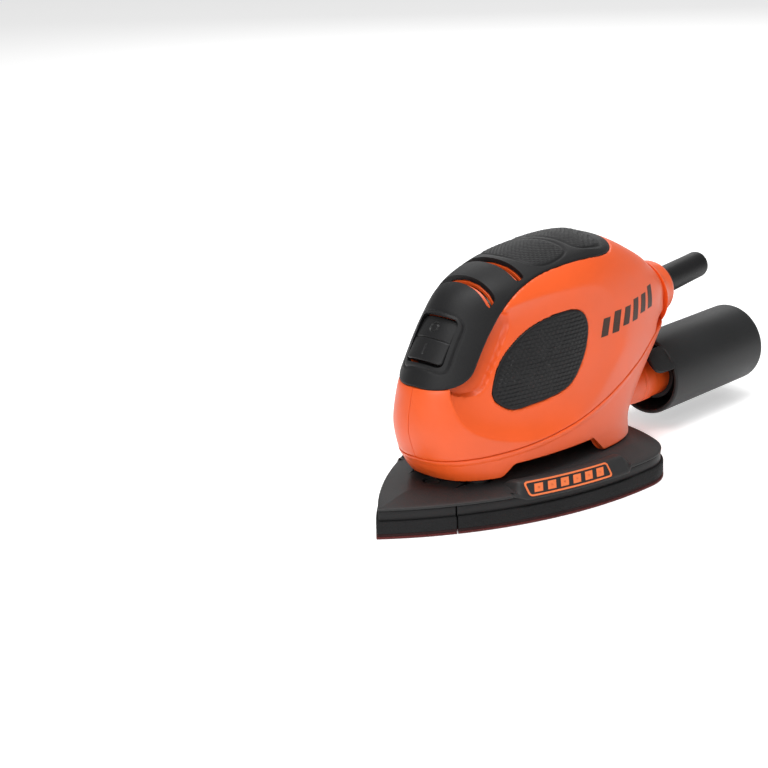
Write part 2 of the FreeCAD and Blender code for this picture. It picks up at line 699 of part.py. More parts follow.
paddle_blank = prism("paddle_blank", [("-rocker_half_height", "3"), ("0", "-0.3"), ("rocker_half_height", "3"),
                                      ("rocker_half_height", "-1.6"), ("5.5", "-3.4"), ("4", "-9.4"),
                                      ("-4", "-9.4"), ("-5.5", "-3.4"), ("-rocker_half_height", "-1.6")],
                     "2 * rocker_half_width", "XZ_Plane", both_ways=True)
pin_blank = doc.addObject("Part::Cylinder", "rocker_pin")
bind(pin_blank, "Radius", "1.5")
bind(pin_blank, "Height", "2 * rocker_half_width + 2.6")
rocked(paddle_blank, size("rocker_throw") / 2)
paddle = [common("paddle_" + name, paddle_blank, outer_skin[name]) for name, side in SIDES]
across = FreeCAD.Placement(Vector(0, size("rocker_half_width") + 1.3, -size("rocker_depth")),
                           FreeCAD.Rotation(X_AXIS, 90))
pin_blank.Placement = FreeCAD.Placement(rocker_centre, rest_turn).multiply(across)
fuse("switch_rocker", pin_blank, *paddle)

module_block = on_rocker_axes("module_block", ("-10", "-rocker_half_width - 2", "-17"),
                              ("10", "rocker_half_width + 2", "-10"))
cheeks = [on_rocker_axes("module_cheek_" + name, ("-4.5", low, "-10.5"), ("4.5", high, "-5.2"))
          for name, low, high in (("left", "-rocker_half_width - 1.5", "-rocker_half_width - 0.3"),
                                  ("right", "rocker_half_width + 0.3", "rocker_half_width + 1.5"))]
pin_room = doc.addObject("Part::Cylinder", "pin_room")
bind(pin_room, "Radius", "1.56")
bind(pin_room, "Height", "2 * rocker_half_width + 6")
room_at = FreeCAD.Placement(Vector(0, size("rocker_half_width") + 3, -size("rocker_depth")),
                            FreeCAD.Rotation(X_AXIS, 90))
pin_room.Placement = FreeCAD.Placement(rocker_centre, rest_turn).multiply(room_at)
cut("switch_module", fuse("module_blank", module_block, *cheeks), pin_room)
group("switch_terminals", *[on_rocker_axes("terminal_%d_%d" % (up > 0, side > 0),
                                           ("%g - 0.4" % up, "%g - 2.4" % side, "-22"),
                                           ("%g + 0.4" % up, "%g + 2.4" % side, "-17"))
                            for up in (-5, 5) for side in (-5, 5)])

# ---------------------------------------------------------------- motor


def bearing(name, bore, outside, width, ball, bottom, x_text):
    """A ball bearing as outer ring, inner ring and a set of balls, its lower face at a height."""
    pitch = (bore + outside) / 2
    middle = "%s + %g" % (bottom, width / 2)
    shoulder = ball * 0.55
    groove = doc.addObject("Part::Torus", name + "_groove")
    groove.Radius1 = pitch
    groove.Radius2 = ball + 0.08
    place(groove, (x_text, "0", middle))
    outer_blank = tube(name + "_outer_blank", "%g" % outside, "%g" % (pitch + shoulder), "%g" % width,
                       (x_text, "0", bottom))
    inner_blank = tube(name + "_inner_blank", "%g" % (pitch - shoulder), "%g" % bore, "%g" % width,
                       (x_text, "0", bottom))
    cut(name + "_outer", outer_blank, groove)
    cut(name + "_inner", inner_blank, groove)
    balls = []
    for i in range(8):
        angle = math.radians(45 * i)
        sphere = doc.addObject("Part::Sphere", "%s_ball_%d" % (name, i + 1))
        sphere.Radius = ball
        place(sphere, ("%s + %.4f" % (x_text, pitch * math.cos(angle)), "%.4f" % (pitch * math.sin(angle)),
                       middle))
        balls.append(sphere)
    group(name + "_balls", *balls)


bearing("lower_bearing", 3.0, 9.5, 6.0, 1.75, "can_bottom - 1.5", "motor_x")
bearing("drive_bearing", 4.0, 11.0, 7.0, 2.0, "plate_top", "motor_x + eccentricity")

turned("motor_can", [("9.5", "-1.5"), ("10.9", "-1.5"), ("10.9", "0"), ("can_radius - 2", "0"),
                     ("can_radius", "2"), ("can_radius", "can_top - can_bottom"),
                     ("can_radius - can_wall", "can_top - can_bottom"), ("can_radius - can_wall", "2"),
                     ("can_radius - can_wall - 1", "can_wall"), ("10.9", "can_wall"), ("10.9", "5.3"),
                     ("9", "5.3"), ("9", "4.5"), ("9.5", "4.5")], ("motor_x", "0", "can_bottom"))

magnet_ring = tube("magnet_ring", "can_radius - can_wall", "can_radius - can_wall - magnet_thickness", "27",
                   ("motor_x", "0", "43.5"))
magnet_gap = box("magnet_gap", ("motor_x - 6", "-30", "30"), ("motor_x + 6", "30", "90"))
cut("motor_magnets", magnet_ring, magnet_gap)

group("motor_mount_rings", tube("lower_mount_ring", "can_radius + 2.5", "can_radius", "4", ("motor_x", "0", "43.5")),
      tube("upper_mount_ring", "can_radius + 2.5", "can_radius", "4", ("motor_x", "0", "69.5")))

turned("motor_end_cap", [("5", "3"), ("5", "9.5"), ("7.5", "9.5"), ("7.5", "3.2"), ("can_radius - can_wall", "3.2"),
                         ("can_radius - can_wall", "-1.2"), ("can_radius - can_wall - 1.6", "-1.2"),
                         ("can_radius - can_wall - 1.6", "0.6"), ("3.4", "0.6"), ("3.4", "3")],
       ("motor_x", "0", "can_top"))
tube("upper_bush", "5", "shaft_radius + 0.04", "6.3", ("motor_x", "0", "can_top + 3.1"))

holders, brushes, springs = [], [], []
for side, name in ((-1, "left"), (1, "right")):
    def across_box(label, near, far, half, low_z, high_z):
        first, last = sorted((side * near, side * far))
        return box(label, ("motor_x - %g" % half, "%g" % first, "%g" % low_z),
                   ("motor_x + %g" % half, "%g" % last, "%g" % high_z))
    blank = across_box("holder_blank_" + name, 8.2, 15.4, 2.9, 70.6, 76.6)
    room = across_box("holder_room_" + name, 7.0, 14.8, 2.3, 71.2, 76.0)
    holders.append(cut("holder_" + name, blank, room))
    brushes.append(across_box("brush_" + name, 6.6, 12.0, 2.2, 71.3, 75.9))
    spring = cylinder("spring_" + name, "1.6", "2.8", ("motor_x", "12" if side > 0 else "-14.8", "73.6"), "y")
    springs.append(spring)
group("brush_holders", *holders)
group("carbon_brushes", *brushes)
group("brush_springs", *springs)

turned("rotor_shaft", [("0", "19.6"), ("shaft_radius", "19.6"), ("shaft_radius", "86"), ("0", "86")],
       ("motor_x", "0", "0"))
core_blank = tube("core_blank", "rotor_radius", "shaft_radius", "rotor_top - rotor_bottom",
                  ("motor_x", "0", "rotor_bottom"))
SLOTS = 8
slot_rods, coil_rods = [], []
for i in range(SLOTS):
    angle = 2 * math.pi * i / SLOTS
    place_text = ("motor_x + %.4f" % (9.7 * math.cos(angle)), "%.4f" % (9.7 * math.sin(angle)))
    slot_rods.append(cylinder("slot_%d" % i, "2.7", "30", place_text + ("rotor_bottom - 4",)))
    coil_rods.append(cylinder("coil_%d" % i, "2.5", "rotor_top - rotor_bottom + 3", place_text + ("rotor_bottom - 1.5",)))
cut("rotor_core", core_blank, *slot_rods)
coil_ends = [tube("coil_end_" + name, "12.4", "4.6", "2.6", ("motor_x", "0", low))
             for name, low in (("lower", "rotor_bottom - 2.9"), ("upper", "rotor_top + 0.3"))]
fuse("rotor_windings", *(coil_rods + coil_ends))
tube("commutator", "6.5", "shaft_radius", "6.4", ("motor_x", "0", "70"))

fan_hub = tube("fan_hub", "7", "shaft_radius", "fan_top - fan_bottom + 0.8", ("motor_x", "0", "fan_bottom - 0.8"))
fan_disc = tube("fan_disc", "fan_radius", "5", "1.6", ("motor_x", "0", "fan_top - 1.6"))
FAN_BLADES = 12
blades = []
for i in range(FAN_BLADES):
    blade = doc.addObject("Part::Box", "fan_blade_%d" % (i + 1))
    bind(blade, "Length", "fan_radius - 6.5")
    bind(blade, "Width", "1.2")
    bind(blade, "Height", "fan_top - fan_bottom - 1")
    turn = FreeCAD.Rotation(Z_AXIS, 360.0 * i / FAN_BLADES)
    corner = turn.multVec(Vector(5.5, -0.6, 0))
    blade.Placement = FreeCAD.Placement(Vector(size("motor_x"), 0, size("fan_bottom")) + corner, turn)
    blades.append(blade)
fuse("cooling_fan", fan_hub, fan_disc, *blades)

weight_disc = tube("weight_disc", "weight_radius", "3", "weight_top - weight_bottom", ("motor_x", "0", "weight_bottom"))
weight_cut = box("weight_cut", ("motor_x", "-30", "0"), ("motor_x + 30", "30", "60"))
weight_hub = tube("weight_hub", "8", "shaft_radius", "weight_top - weight_bottom + 0.4",
                  ("motor_x", "0", "weight_bottom"))
crank_web = cylinder("crank_web", "7", "1", ("motor_x", "0", "weight_bottom"))
crank_pin = cylinder("crank_pin", "pin_radius", "weight_bottom - pin_bottom + 0.5",
                     ("motor_x + eccentricity", "0", "pin_bottom"))
pin_thread = cylinder("pin_thread", "1.6", "6", ("motor_x + eccentricity", "0", "pin_bottom - 1"))
shaft_room = cylinder("shaft_room", "shaft_radius", "20", ("motor_x", "0", "19.6"))
cut("eccentric_counterweight",
    cut("weight_drilled", fuse("weight_blank", cut("weight_half", weight_disc, weight_cut), weight_hub, crank_web,
                               crank_pin), pin_thread), shaft_room)
pin_washer = tube("pin_washer", "5.6", "1.6", "0.8", ("motor_x + eccentricity", "0", "pin_bottom - 0.8"))
pin_screw_head = cylinder("pin_screw_head", "3.4", "2", ("motor_x + eccentricity", "0", "pin_bottom - 2.8"))
pin_screw_shank = cylinder("pin_screw_shank", "1.6", "6.4", ("motor_x + eccentricity", "0", "pin_bottom - 1.5"))
fuse("pin_screw", pin_screw_head, pin_screw_shank)

# ---------------------------------------------------------------- electrics behind the motor

box("rectifier_board", ("40", "-15", "52"), ("41.6", "15", "78"))
box("bridge_rectifier", ("41.6", "-12", "56"), ("47", "0", "72"))
cylinder("suppression_capacitor", "5", "11", ("46.6", "8", "58"))


def lead(label, points, radius):
    """A round lead along straight runs joined by tangent arcs."""
    corners = [Vector(*point) for point in points]
    edges = []
    start = corners[0]
    for i in range(1, len(corners) - 1):
        before, here, after = corners[i - 1], corners[i], corners[i + 1]
        run_in, run_out = here - before, after - here
        turn = run_in.getAngle(run_out)
        reach = 0.45 * min(run_in.Length, run_out.Length)
        arc_radius = reach / math.tan(turn / 2)
        unit_in = Vector(run_in).normalize()
        unit_out = Vector(run_out).normalize()
        first = here - unit_in * reach
        last = here + unit_out * reach
        inward = (unit_out - unit_in).normalize()
        middle = here + inward * (arc_radius / math.cos(turn / 2) - arc_radius)
        edges.append(Part.LineSegment(start, first).toShape())
        edges.append(Part.Arc(first, middle, last).toShape())
        start = last
    edges.append(Part.LineSegment(start, corners[-1]).toShape())
    path = Part.Wire(edges)
    profile = Part.Wire([Part.Circle(corners[0], corners[1] - corners[0], radius).toShape()])
    item = doc.addObject("Part::Feature", label)
    item.Shape = path.makePipeShell([profile], True, True)
    expected = math.pi * radius ** 2 * path.Length
    if abs(item.Shape.Volume / expected - 1) > 0.02:
        raise RuntimeError("%s has the wrong volume" % label)
    return item


def lead_route(side):
    return [(83, 2.2 * side, 61), (64, 10 * side, 60), (48, 18 * side, 58), (26, 21.2 * side, 57),
            (-4, 21.0 * side, 57), (-15, 14 * side, 57), (-20.5, 7 * side, 57.6)]


lead("live_lead", lead_route(-1), 1.0)
lead("neutral_lead", lead_route(1), 1.0)
motor_leads = [lead("motor_lead_" + name, [(39, 9 * side, 76.5), (32, 13 * side, 77.5), (22, 18.4 * side, 78),
                                           (12, 18.2 * side, 77.6)], 0.9)
               for side, name in ((-1, "left"), (1, "right"))]
group("motor_leads", *motor_leads)

# ---------------------------------------------------------------- base


def tip_wedge(label, grow):
    """The plan of the separate tip: a wedge that opens forwards from a point behind the tip."""
    point = "-tip_back_x + %s" % grow
    slope = "tip_split_half_width / (tip_split_x - tip_back_x)"
    return prism(label, [(point, "0"), (point + " - 70", "70 * " + slope), (point + " - 70", "-70 * " + slope)],
                 "60", at=("0", "0", "-10"))


tip_plan = tip_wedge("tip_plan", "0")
tip_room = tip_wedge("tip_room", "tip_gap")


def split_layer(main_name, tip_name, blank, *holes):
    cut(main_name, blank, tip_room, *holes)
    common(tip_name, blank, tip_plan)


eccentric_x = "motor_x + eccentricity"
split_layer("sanding_sheet", "sanding_tip", base_layer("paper_blank", "0", "paper_thickness"))
split_layer("hook_sheet", "hook_tip", base_layer("hook_blank", "paper_thickness", "hook_top", "0.3"))
split_layer("foam_pad", "foam_tip", base_layer("foam_blank", "hook_top", "foam_top"))

plate_blank = base_layer("plate_blank", "foam_top", "plate_top", "1.2")
pin_well = cylinder("pin_well", "6.4", "10", (eccentric_x, "0", "foam_top"))
COVER_SCREWS = [(-12.0, -24.0), (-12.0, 24.0), (40.0, -30.0), (40.0, 30.0)]
plate_holes = []
for i, (x, y) in enumerate(COVER_SCREWS, start=1):
    plate_holes.append(cylinder("plate_hole_%d" % i, "1.5", "20", spot(x, y, 0)))
    plate_holes.append(cylinder("plate_well_%d" % i, "3", "2", spot(x, y, 7)))
cut("base_plate", plate_blank, tip_room, pin_well, *plate_holes)
tip_hole = cylinder("tip_hole", "1.6", "6", ("-38", "0", "7.6"))
cut("tip_plate", common("tip_plate_blank", plate_blank, tip_plan), tip_hole)

cover_screws = []
for i, (x, y) in enumerate(COVER_SCREWS, start=1):
    shank = cylinder("cover_screw_shank_%d" % i, "1.5", "5.6", spot(x, y, 8))
    head = cylinder("cover_screw_head_%d" % i, "3", "1.8", spot(x, y, 7.2))
    cover_screws.append(fuse("cover_screw_%d" % i, shank, head))
group("cover_screws", *cover_screws)

cover_edge = base_layer("cover_edge", "plate_top", "cover_edge_top", "0.9")
cover_roof = base_slope("cover_roof", "cover_edge_top", "0.9", "cover_top", "cover_slope")
hub = cylinder("bearing_hub", "14.5", "7", (eccentric_x, "0", "plate_top"))
shoulder_block = base_slope("shoulder_block", "shoulder_bottom", "0.2", "shoulder_top", "shoulder_slope")
shoulder_inner = base_layer("shoulder_inner", "cover_top - 0.4", "30", "shoulder_slope + 3.2")
shoulder_under = base_layer("shoulder_under", "0", "plate_top", "1.2")
shoulder_range = box("shoulder_range", ("-shoulder_front", "-60", "0"), ("shoulder_rear", "60", "40"))
shoulders = common("shoulders", cut("shoulder_ring", shoulder_block, shoulder_inner, shoulder_under),
                   shoulder_range)

badge_outside = base_slope("badge_outside", "shoulder_bottom", "0", "shoulder_top", "shoulder_slope - 0.2")
badge_inside = base_slope("badge_inside", "shoulder_bottom", "badge_thickness", "shoulder_top",
                          "shoulder_slope + badge_thickness - 0.2")
badge_outline = prism("badge_outline", [("badge_centre_x - badge_length / 2", "shoulder_bottom + 1.5"),
                                        ("badge_centre_x + badge_length / 2", "shoulder_bottom + 1.5"),
                                        ("badge_centre_x + badge_length / 2", "shoulder_top - 0.6"),
                                        ("badge_centre_x - badge_length / 2", "shoulder_top - 0.6")],
                      "140", "XZ_Plane", both_ways=True)
rounded(badge_outline, "2.2")
badge_layer = cut("badge_layer", badge_outside, badge_inside)
group("badge_inlays", *[common("badge_" + name, badge_layer, badge_outline, half_space[name])
                        for name, side in SIDES])

cover_holes = [cylinder("bearing_pocket", "11", "9", (eccentric_x, "0", "plate_top")),
               cylinder("tip_shank_hole", "1.6", "10", ("-38", "0", "8")),
               cylinder("tip_head_well", "3.6", "4", ("-38", "0", "12.6"))]
for name, x, y in LEG_PLACES:
    cover_holes.append(cylinder("leg_pocket_" + name, LEG_RADIUS + " + eccentricity + 0.6", "6",
                                ("%g + eccentricity" % x, "%g" % y, "12.2")))
for i, (x, y) in enumerate(COVER_SCREWS, start=1):
    cover_holes.append(cylinder("cover_hole_%d" % i, "1.5", "3", spot(x, y, 10.7)))
badge_solid = common("badge_solid", badge_layer, badge_outline)
cut("base_cover", fuse("cover_whole", cover_edge, cover_roof, hub, shoulders), badge_solid, *cover_holes)
tip_head = cylinder("tip_head", "3", "1.8", ("-38", "0", "12.6"))
tip_shank = cylinder("tip_shank", "1.6", "5", ("-38", "0", "7.8"))
fuse("tip_screw", tip_head, tip_shank)

# ---------------------------------------------------------------- check and export

NODES = [
    "housing_left", "housing_right", "lower_shroud", "top_grip", "side_grip_left", "side_grip_right",
    "housing_screws", "shroud_screws", "flex_leg_front_left", "flex_leg_front_right", "flex_leg_rear_left",
    "flex_leg_rear_right", "cord_guard", "cord_clamp", "cord_clamp_screws", "dust_spigot", "switch_module",
    "switch_terminals", "motor_can", "motor_magnets", "motor_mount_rings", "motor_end_cap", "upper_bush",
    "brush_holders", "carbon_brushes", "brush_springs", "lower_bearing_outer", "lower_bearing_balls",
    "rectifier_board", "bridge_rectifier", "suppression_capacitor", "live_lead", "neutral_lead", "motor_leads",
    "rotor_shaft", "rotor_core", "rotor_windings", "commutator", "cooling_fan", "eccentric_counterweight",
    "lower_bearing_inner", "drive_bearing_inner", "pin_washer", "pin_screw",
    "base_cover", "badge_inlays", "base_plate", "tip_plate", "tip_screw", "cover_screws",
    "drive_bearing_outer", "drive_bearing_balls", "foam_pad", "foam_tip", "hook_sheet", "hook_tip",
    "sanding_sheet", "sanding_tip", "switch_rocker", "dust_adapter",
]


def export_nodes():
    doc.recompute()
    faults = ["%s: %s" % (item.Label, item.State) for item in doc.Objects
              if "Invalid" in item.State or "Error" in item.State]
    by_label = {item.Label: item for item in doc.Objects}
    for node in NODES:
        shape = by_label[node].Shape
        if shape.isNull() or not shape.isValid() or not shape.Solids:
            faults.append("%s has no valid solid" % node)
    if faults:
        raise RuntimeError("\n".join(faults))
    os.makedirs("parts", exist_ok=True)
    for node in NODES:
        shape = by_label[node].Shape
        shape.exportStep("parts/%s.step" % node)
        print("%-26s %2d solids %10.1f mm3" % (node, len(shape.Solids), shape.Volume))


export_nodes()
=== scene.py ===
import json
import math

import bmesh
import bpy
import numpy as np
from mathutils import Matrix, Vector


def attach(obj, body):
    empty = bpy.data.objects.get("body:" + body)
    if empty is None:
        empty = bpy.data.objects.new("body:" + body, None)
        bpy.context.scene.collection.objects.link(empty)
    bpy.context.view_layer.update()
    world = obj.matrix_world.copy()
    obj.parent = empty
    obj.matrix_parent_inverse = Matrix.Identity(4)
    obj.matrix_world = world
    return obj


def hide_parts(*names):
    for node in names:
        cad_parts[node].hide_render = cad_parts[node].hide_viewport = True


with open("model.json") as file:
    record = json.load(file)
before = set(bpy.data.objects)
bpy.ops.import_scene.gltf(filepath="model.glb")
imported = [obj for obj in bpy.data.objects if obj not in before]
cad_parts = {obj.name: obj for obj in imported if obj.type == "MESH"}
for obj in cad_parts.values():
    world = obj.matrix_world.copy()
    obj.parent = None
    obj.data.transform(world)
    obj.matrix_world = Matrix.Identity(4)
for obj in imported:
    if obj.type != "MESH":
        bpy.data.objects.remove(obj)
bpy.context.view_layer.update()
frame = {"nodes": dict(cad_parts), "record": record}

MM = 0.001

# ---- the housing's form, in millimetres

# height, nose x, tail x, half width, widest x, roundness of the tail, roundness of the sides
LEVELS = np.array([
    (15.5, -38.0, 62.8, 32.0, 25.0, 3.0, 2.8), (22.0, -43.5, 66.8, 31.5, 20.0, 2.6, 2.6),
    (30.0, -48.0, 77.0, 31.5, 14.0, 2.2, 2.4), (40.0, -50.5, 90.5, 31.5, 12.0, 1.9, 2.2),
    (52.0, -48.5, 101.5, 31.5, 14.0, 1.8, 2.1), (65.0, -42.5, 103.0, 30.0, 20.0, 1.8, 2.1),
    (78.0, -34.5, 91.5, 27.5, 26.0, 1.8, 2.1), (88.0, -26.0, 75.5, 24.0, 32.0, 1.8, 2.1),
    (95.0, -9.0, 61.0, 18.0, 36.0, 1.8, 2.1), (99.0, 16.0, 49.0, 8.5, 38.0, 1.8, 2.1),
    (100.0, 28.5, 45.5, 4.4, 38.0, 1.8, 2.1), (100.4, 37.2, 38.8, 0.6, 38.0, 1.8, 2.1)])
CREST = LEVELS[-1, 0]
NOSE_ROUND = 1.8
CREST_PENALTY = 25
SEAM = np.array([(-90, 27.0), (-50, 27.0), (-22, 28.0), (8, 31.0), (30, 35.3), (60, 43.4),
                 (84, 52.0), (130, 52.0)])


def monotone(xs, ys):
    """A smooth curve through the points that never overshoots between two of them."""
    xs, ys = np.asarray(xs, float), np.asarray(ys, float)
    step = np.diff(xs)
    slope = np.diff(ys) / step
    tangent = np.zeros_like(ys)
    tangent[0], tangent[-1] = slope[0], slope[-1]
    for i in range(1, len(xs) - 1):
        if slope[i - 1] * slope[i] > 0:
            before, after = 2 * step[i] + step[i - 1], step[i] + 2 * step[i - 1]
            tangent[i] = (before + after) / (before / slope[i - 1] + after / slope[i])

    def value(x):
        x = np.clip(x, xs[0], xs[-1])
        i = np.clip(np.searchsorted(xs, x, side="right") - 1, 0, len(step) - 1)
        t = (x - xs[i]) / step[i]
        return ((1 + 2 * t) * (1 - t) ** 2 * ys[i] + t * (1 - t) ** 2 * step[i] * tangent[i]
                + t * t * (3 - 2 * t) * ys[i + 1] + t * t * (t - 1) * step[i] * tangent[i + 1])
    return value


NOSE, TAIL, HALF, WIDEST, TAIL_ROUND, SIDE_ROUND = [
    monotone(LEVELS[:, 0], LEVELS[:, column]) for column in range(1, 7)]
seam_height = monotone(SEAM[:, 0], SEAM[:, 1])


def smooth_step(x, low, high):
    t = np.clip((x - low) / (high - low), 0, 1)
    return t * t * (3 - 2 * t)


# the finger hollow starts where the side meets a smooth bowl
BOWL = (24.52, 6.75, -4.53, -3.7, 1.9, 1.97, 0.62, -0.19, -1.15)
HOLLOW, HOLLOW_BLEND = 6.0, 0.5
HOLLOW_SHARE = 0.6


def hollow_depth(x, z, side):
    """How deep the finger hollow is at a place whose side would be this far out without it."""
    u, w = x / 40, (z - 58) / 30
    terms = (1, u, w, u * u, w * w, u * w, u ** 3, w ** 3, u * u * w)
    below = side - sum(share * term for share, term in zip(BOWL, terms))
    steep = 1.15 + 2.7 * (1 - smooth_step(x, -32, 22))
    depth = HOLLOW * (1 - np.exp(-steep * np.clip(below, -8, None) / HOLLOW))
    return 0.5 * (depth + np.sqrt(depth ** 2 + HOLLOW_BLEND ** 2))


def plain_side(x, z):
    """How far out the side is at a place, before the finger hollow."""
    z = np.clip(z, LEVELS[0, 0], CREST)
    behind = x > WIDEST(z)
    reach = np.where(behind, TAIL(z) - WIDEST(z), WIDEST(z) - NOSE(z))
    power = np.where(behind, TAIL_ROUND(z), NOSE_ROUND)
    part = np.clip(np.abs(x - WIDEST(z)) / reach, 0, 1)
    return HALF(z) * np.clip(1 - part ** power, 0, 1) ** (1 / SIDE_ROUND(z))


def side_reach(x, z):
    plain = plain_side(x, z)
    return plain - np.clip(hollow_depth(x, z, plain), 0, HOLLOW_SHARE * plain)


def form_value(p):
    """Below zero inside the housing's form, above zero outside it."""
    x, y, z = p[:, 0], p[:, 1], p[:, 2]
    level = np.clip(z, LEVELS[0, 0], CREST)
    behind = x > WIDEST(level)
    reach = np.where(behind, TAIL(level) - WIDEST(level), WIDEST(level) - NOSE(level))
    power = np.where(behind, TAIL_ROUND(level), NOSE_ROUND)
    value = ((np.abs(x - WIDEST(level)) / reach) ** power
             + (np.abs(y) / HALF(level)) ** SIDE_ROUND(level) - 1)
    return value + CREST_PENALTY * np.clip(z - CREST, 0, None)


def form_normal(p, step=0.35):
    grad = np.stack([form_value(p + step * axis) - form_value(p - step * axis)
                     for axis in np.eye(3)], 1)
    return grad / np.linalg.norm(grad, axis=1, keepdims=True)


def cast(start, along, reach=90.0):
    """Where lines from outside first meet the housing's form."""
    halvings = 26
    low, high = np.zeros(len(start)), np.full(len(start), np.nan)
    for t in np.linspace(0, reach, 181):
        met = np.isnan(high) & (form_value(start + t * along) < 0)
        high[met] = t
        low[np.isnan(high)] = t
    high = np.where(np.isnan(high), reach, high)
    for _ in range(halvings):
        middle = (low + high) / 2
        inside = form_value(start + middle[:, None] * along) < 0
        high, low = np.where(inside, middle, high), np.where(inside, low, middle)
    return start + high[:, None] * along


# ---- outlines

def closed_curve(points, count, rounding=3):
    """A smooth closed outline round the given corner points."""
    loop = np.asarray(points, float)
    for _ in range(rounding):
        after = np.roll(loop, -1, 0)
        loop = np.stack([0.75 * loop + 0.25 * after, 0.25 * loop + 0.75 * after], 1).reshape(-1, 2)
    return even_loop(loop, count)


def even_loop(loop, count):
    ends = np.vstack([loop, loop[:1]])
    run = np.r_[0, np.cumsum(np.linalg.norm(np.diff(ends, axis=0), axis=1))]
    at = np.linspace(0, run[-1], count, endpoint=False)
    return np.stack([np.interp(at, run, ends[:, k]) for k in range(2)], 1)


def rounded_box(half_x, half_y, radius, count, centre=(0, 0)):
    corners = []
    for sx, sy, start in ((1, 1, 0), (-1, 1, 90), (-1, -1, 180), (1, -1, 270)):
        for turn in np.linspace(0, 90, 13):
            a = math.radians(start + turn)
            corners.append((centre[0] + sx * (half_x - radius) + radius * math.cos(a),
                            centre[1] + sy * (half_y - radius) + radius * math.sin(a)))
    return even_loop(np.array(corners), count)


def edge_distance(points, outline):
    """Distance to a closed outline, below zero inside it."""
    a, b = outline, np.roll(outline, -1, 0)
    ab = b - a
    best = np.full(len(points), 1e9)
    crossings = np.zeros(len(points), int)
    for p, d in zip(a, ab):
        rel = points - p
        t = np.clip((rel @ d) / (d @ d), 0, 1)
        best = np.minimum(best, np.hypot(*(rel - t[:, None] * d).T))
        q = p + d
        spans = (p[1] > points[:, 1]) != (q[1] > points[:, 1])
        if d[1]:
            crossings += spans & (points[:, 0] < p[0] + (points[:, 1] - p[1]) * d[0] / d[1])
    return np.where(crossings % 2, -best, best)


def turn_outwards(outline):
    x, y = outline[:, 0], outline[:, 1]
    area = np.sum(x * np.roll(y, -1) - np.roll(x, -1) * y)
    return outline if area > 0 else outline[::-1]


# ---- materials

def material(name, colour, rough=0.5, metal=0.0, vary=0.12, grain=0.25, bump=0.12, coat=0.0,
             speck=None, brush=0.0, wear=0.0):
    """Procedural finish: drifting colour, mottled roughness, moulded or rolled grain, slight wear."""
    mat = bpy.data.materials.new(name)
    mat.use_nodes = True
    nodes, links = mat.node_tree.nodes, mat.node_tree.links
    shader = nodes["Principled BSDF"]

    def make(kind, **values):
        node = nodes.new("ShaderNode" + kind)
        for key, value in values.items():
            node.inputs[key.replace("_", " ")].default_value = value
        return node

    def ramp(factor, start, end, low=(0, 0, 0), high=(1, 1, 1)):
        node = make("ValToRGB")
        for element, place, tone in zip(node.color_ramp.elements, (start, end), (low, high)):
            element.position, element.color = place, (*tone, 1)
        links.new(factor, node.inputs["Fac"])
        return node.outputs["Color"]

    def blend(kind, factor, first, second):
        node = make("Mix")
        node.data_type, node.blend_type = "RGBA", kind
        for key, value in (("Factor", factor), ("A", first), ("B", second)):
            if isinstance(value, tuple):
                node.inputs[key].default_value = value
            else:
                links.new(value, node.inputs[key])
        return node.outputs["Result"]

    source = make("TexCoord").outputs["Object"]
    if brush:
        stretch = make("Mapping", Scale=(1.0, 1.0, brush))
        links.new(source, stretch.inputs["Vector"])
        source = stretch.outputs["Vector"]
    drift = make("TexNoise", Scale=38.0, Detail=6.0)
    links.new(source, drift.inputs["Vector"])
    paint = ramp(drift.outputs["Fac"], 0.3, 0.7, [c * (1 - vary) for c in colour],
                 [min(1.0, c * (1 + vary)) for c in colour])
    if speck:
        spots = make("TexVoronoi", Scale=speck[1])
        links.new(source, spots.inputs["Vector"])
        paint = blend("MIX", ramp(spots.outputs["Distance"], 0.05, 0.45), (*speck[0], 1), paint)
    if wear:
        strength = nodes.new("ShaderNodeMath")
        strength.operation = "MULTIPLY"
        strength.inputs[1].default_value = wear
        pointed = make("NewGeometry").outputs["Pointiness"]
        links.new(ramp(pointed, 0.52, 0.60), strength.inputs[0])
        paint = blend("ADD", strength.outputs["Value"], paint, (0.25, 0.22, 0.2, 1))
    links.new(paint, shader.inputs["Base Color"])
    mottle = make("MapRange", To_Min=rough - 0.07, To_Max=rough + 0.07)
    links.new(drift.outputs["Fac"], mottle.inputs["Value"])
    links.new(mottle.outputs["Result"], shader.inputs["Roughness"])
    fine = make("TexNoise", Scale=1000.0 / grain, Detail=2.0)
    links.new(source, fine.inputs["Vector"])
    height = make("Bump", Strength=bump, Distance=grain * 0.0005)
    links.new(fine.outputs["Fac"], height.inputs["Height"])
    links.new(height.outputs["Normal"], shader.inputs["Normal"])
    shader.inputs["Metallic"].default_value = metal
    shader.inputs["Coat Weight"].default_value = coat
    dull = not (metal or coat or colour[0] > 0.1)
    shader.inputs["Specular IOR Level"].default_value = 0.26 if dull else 0.5
    return mat


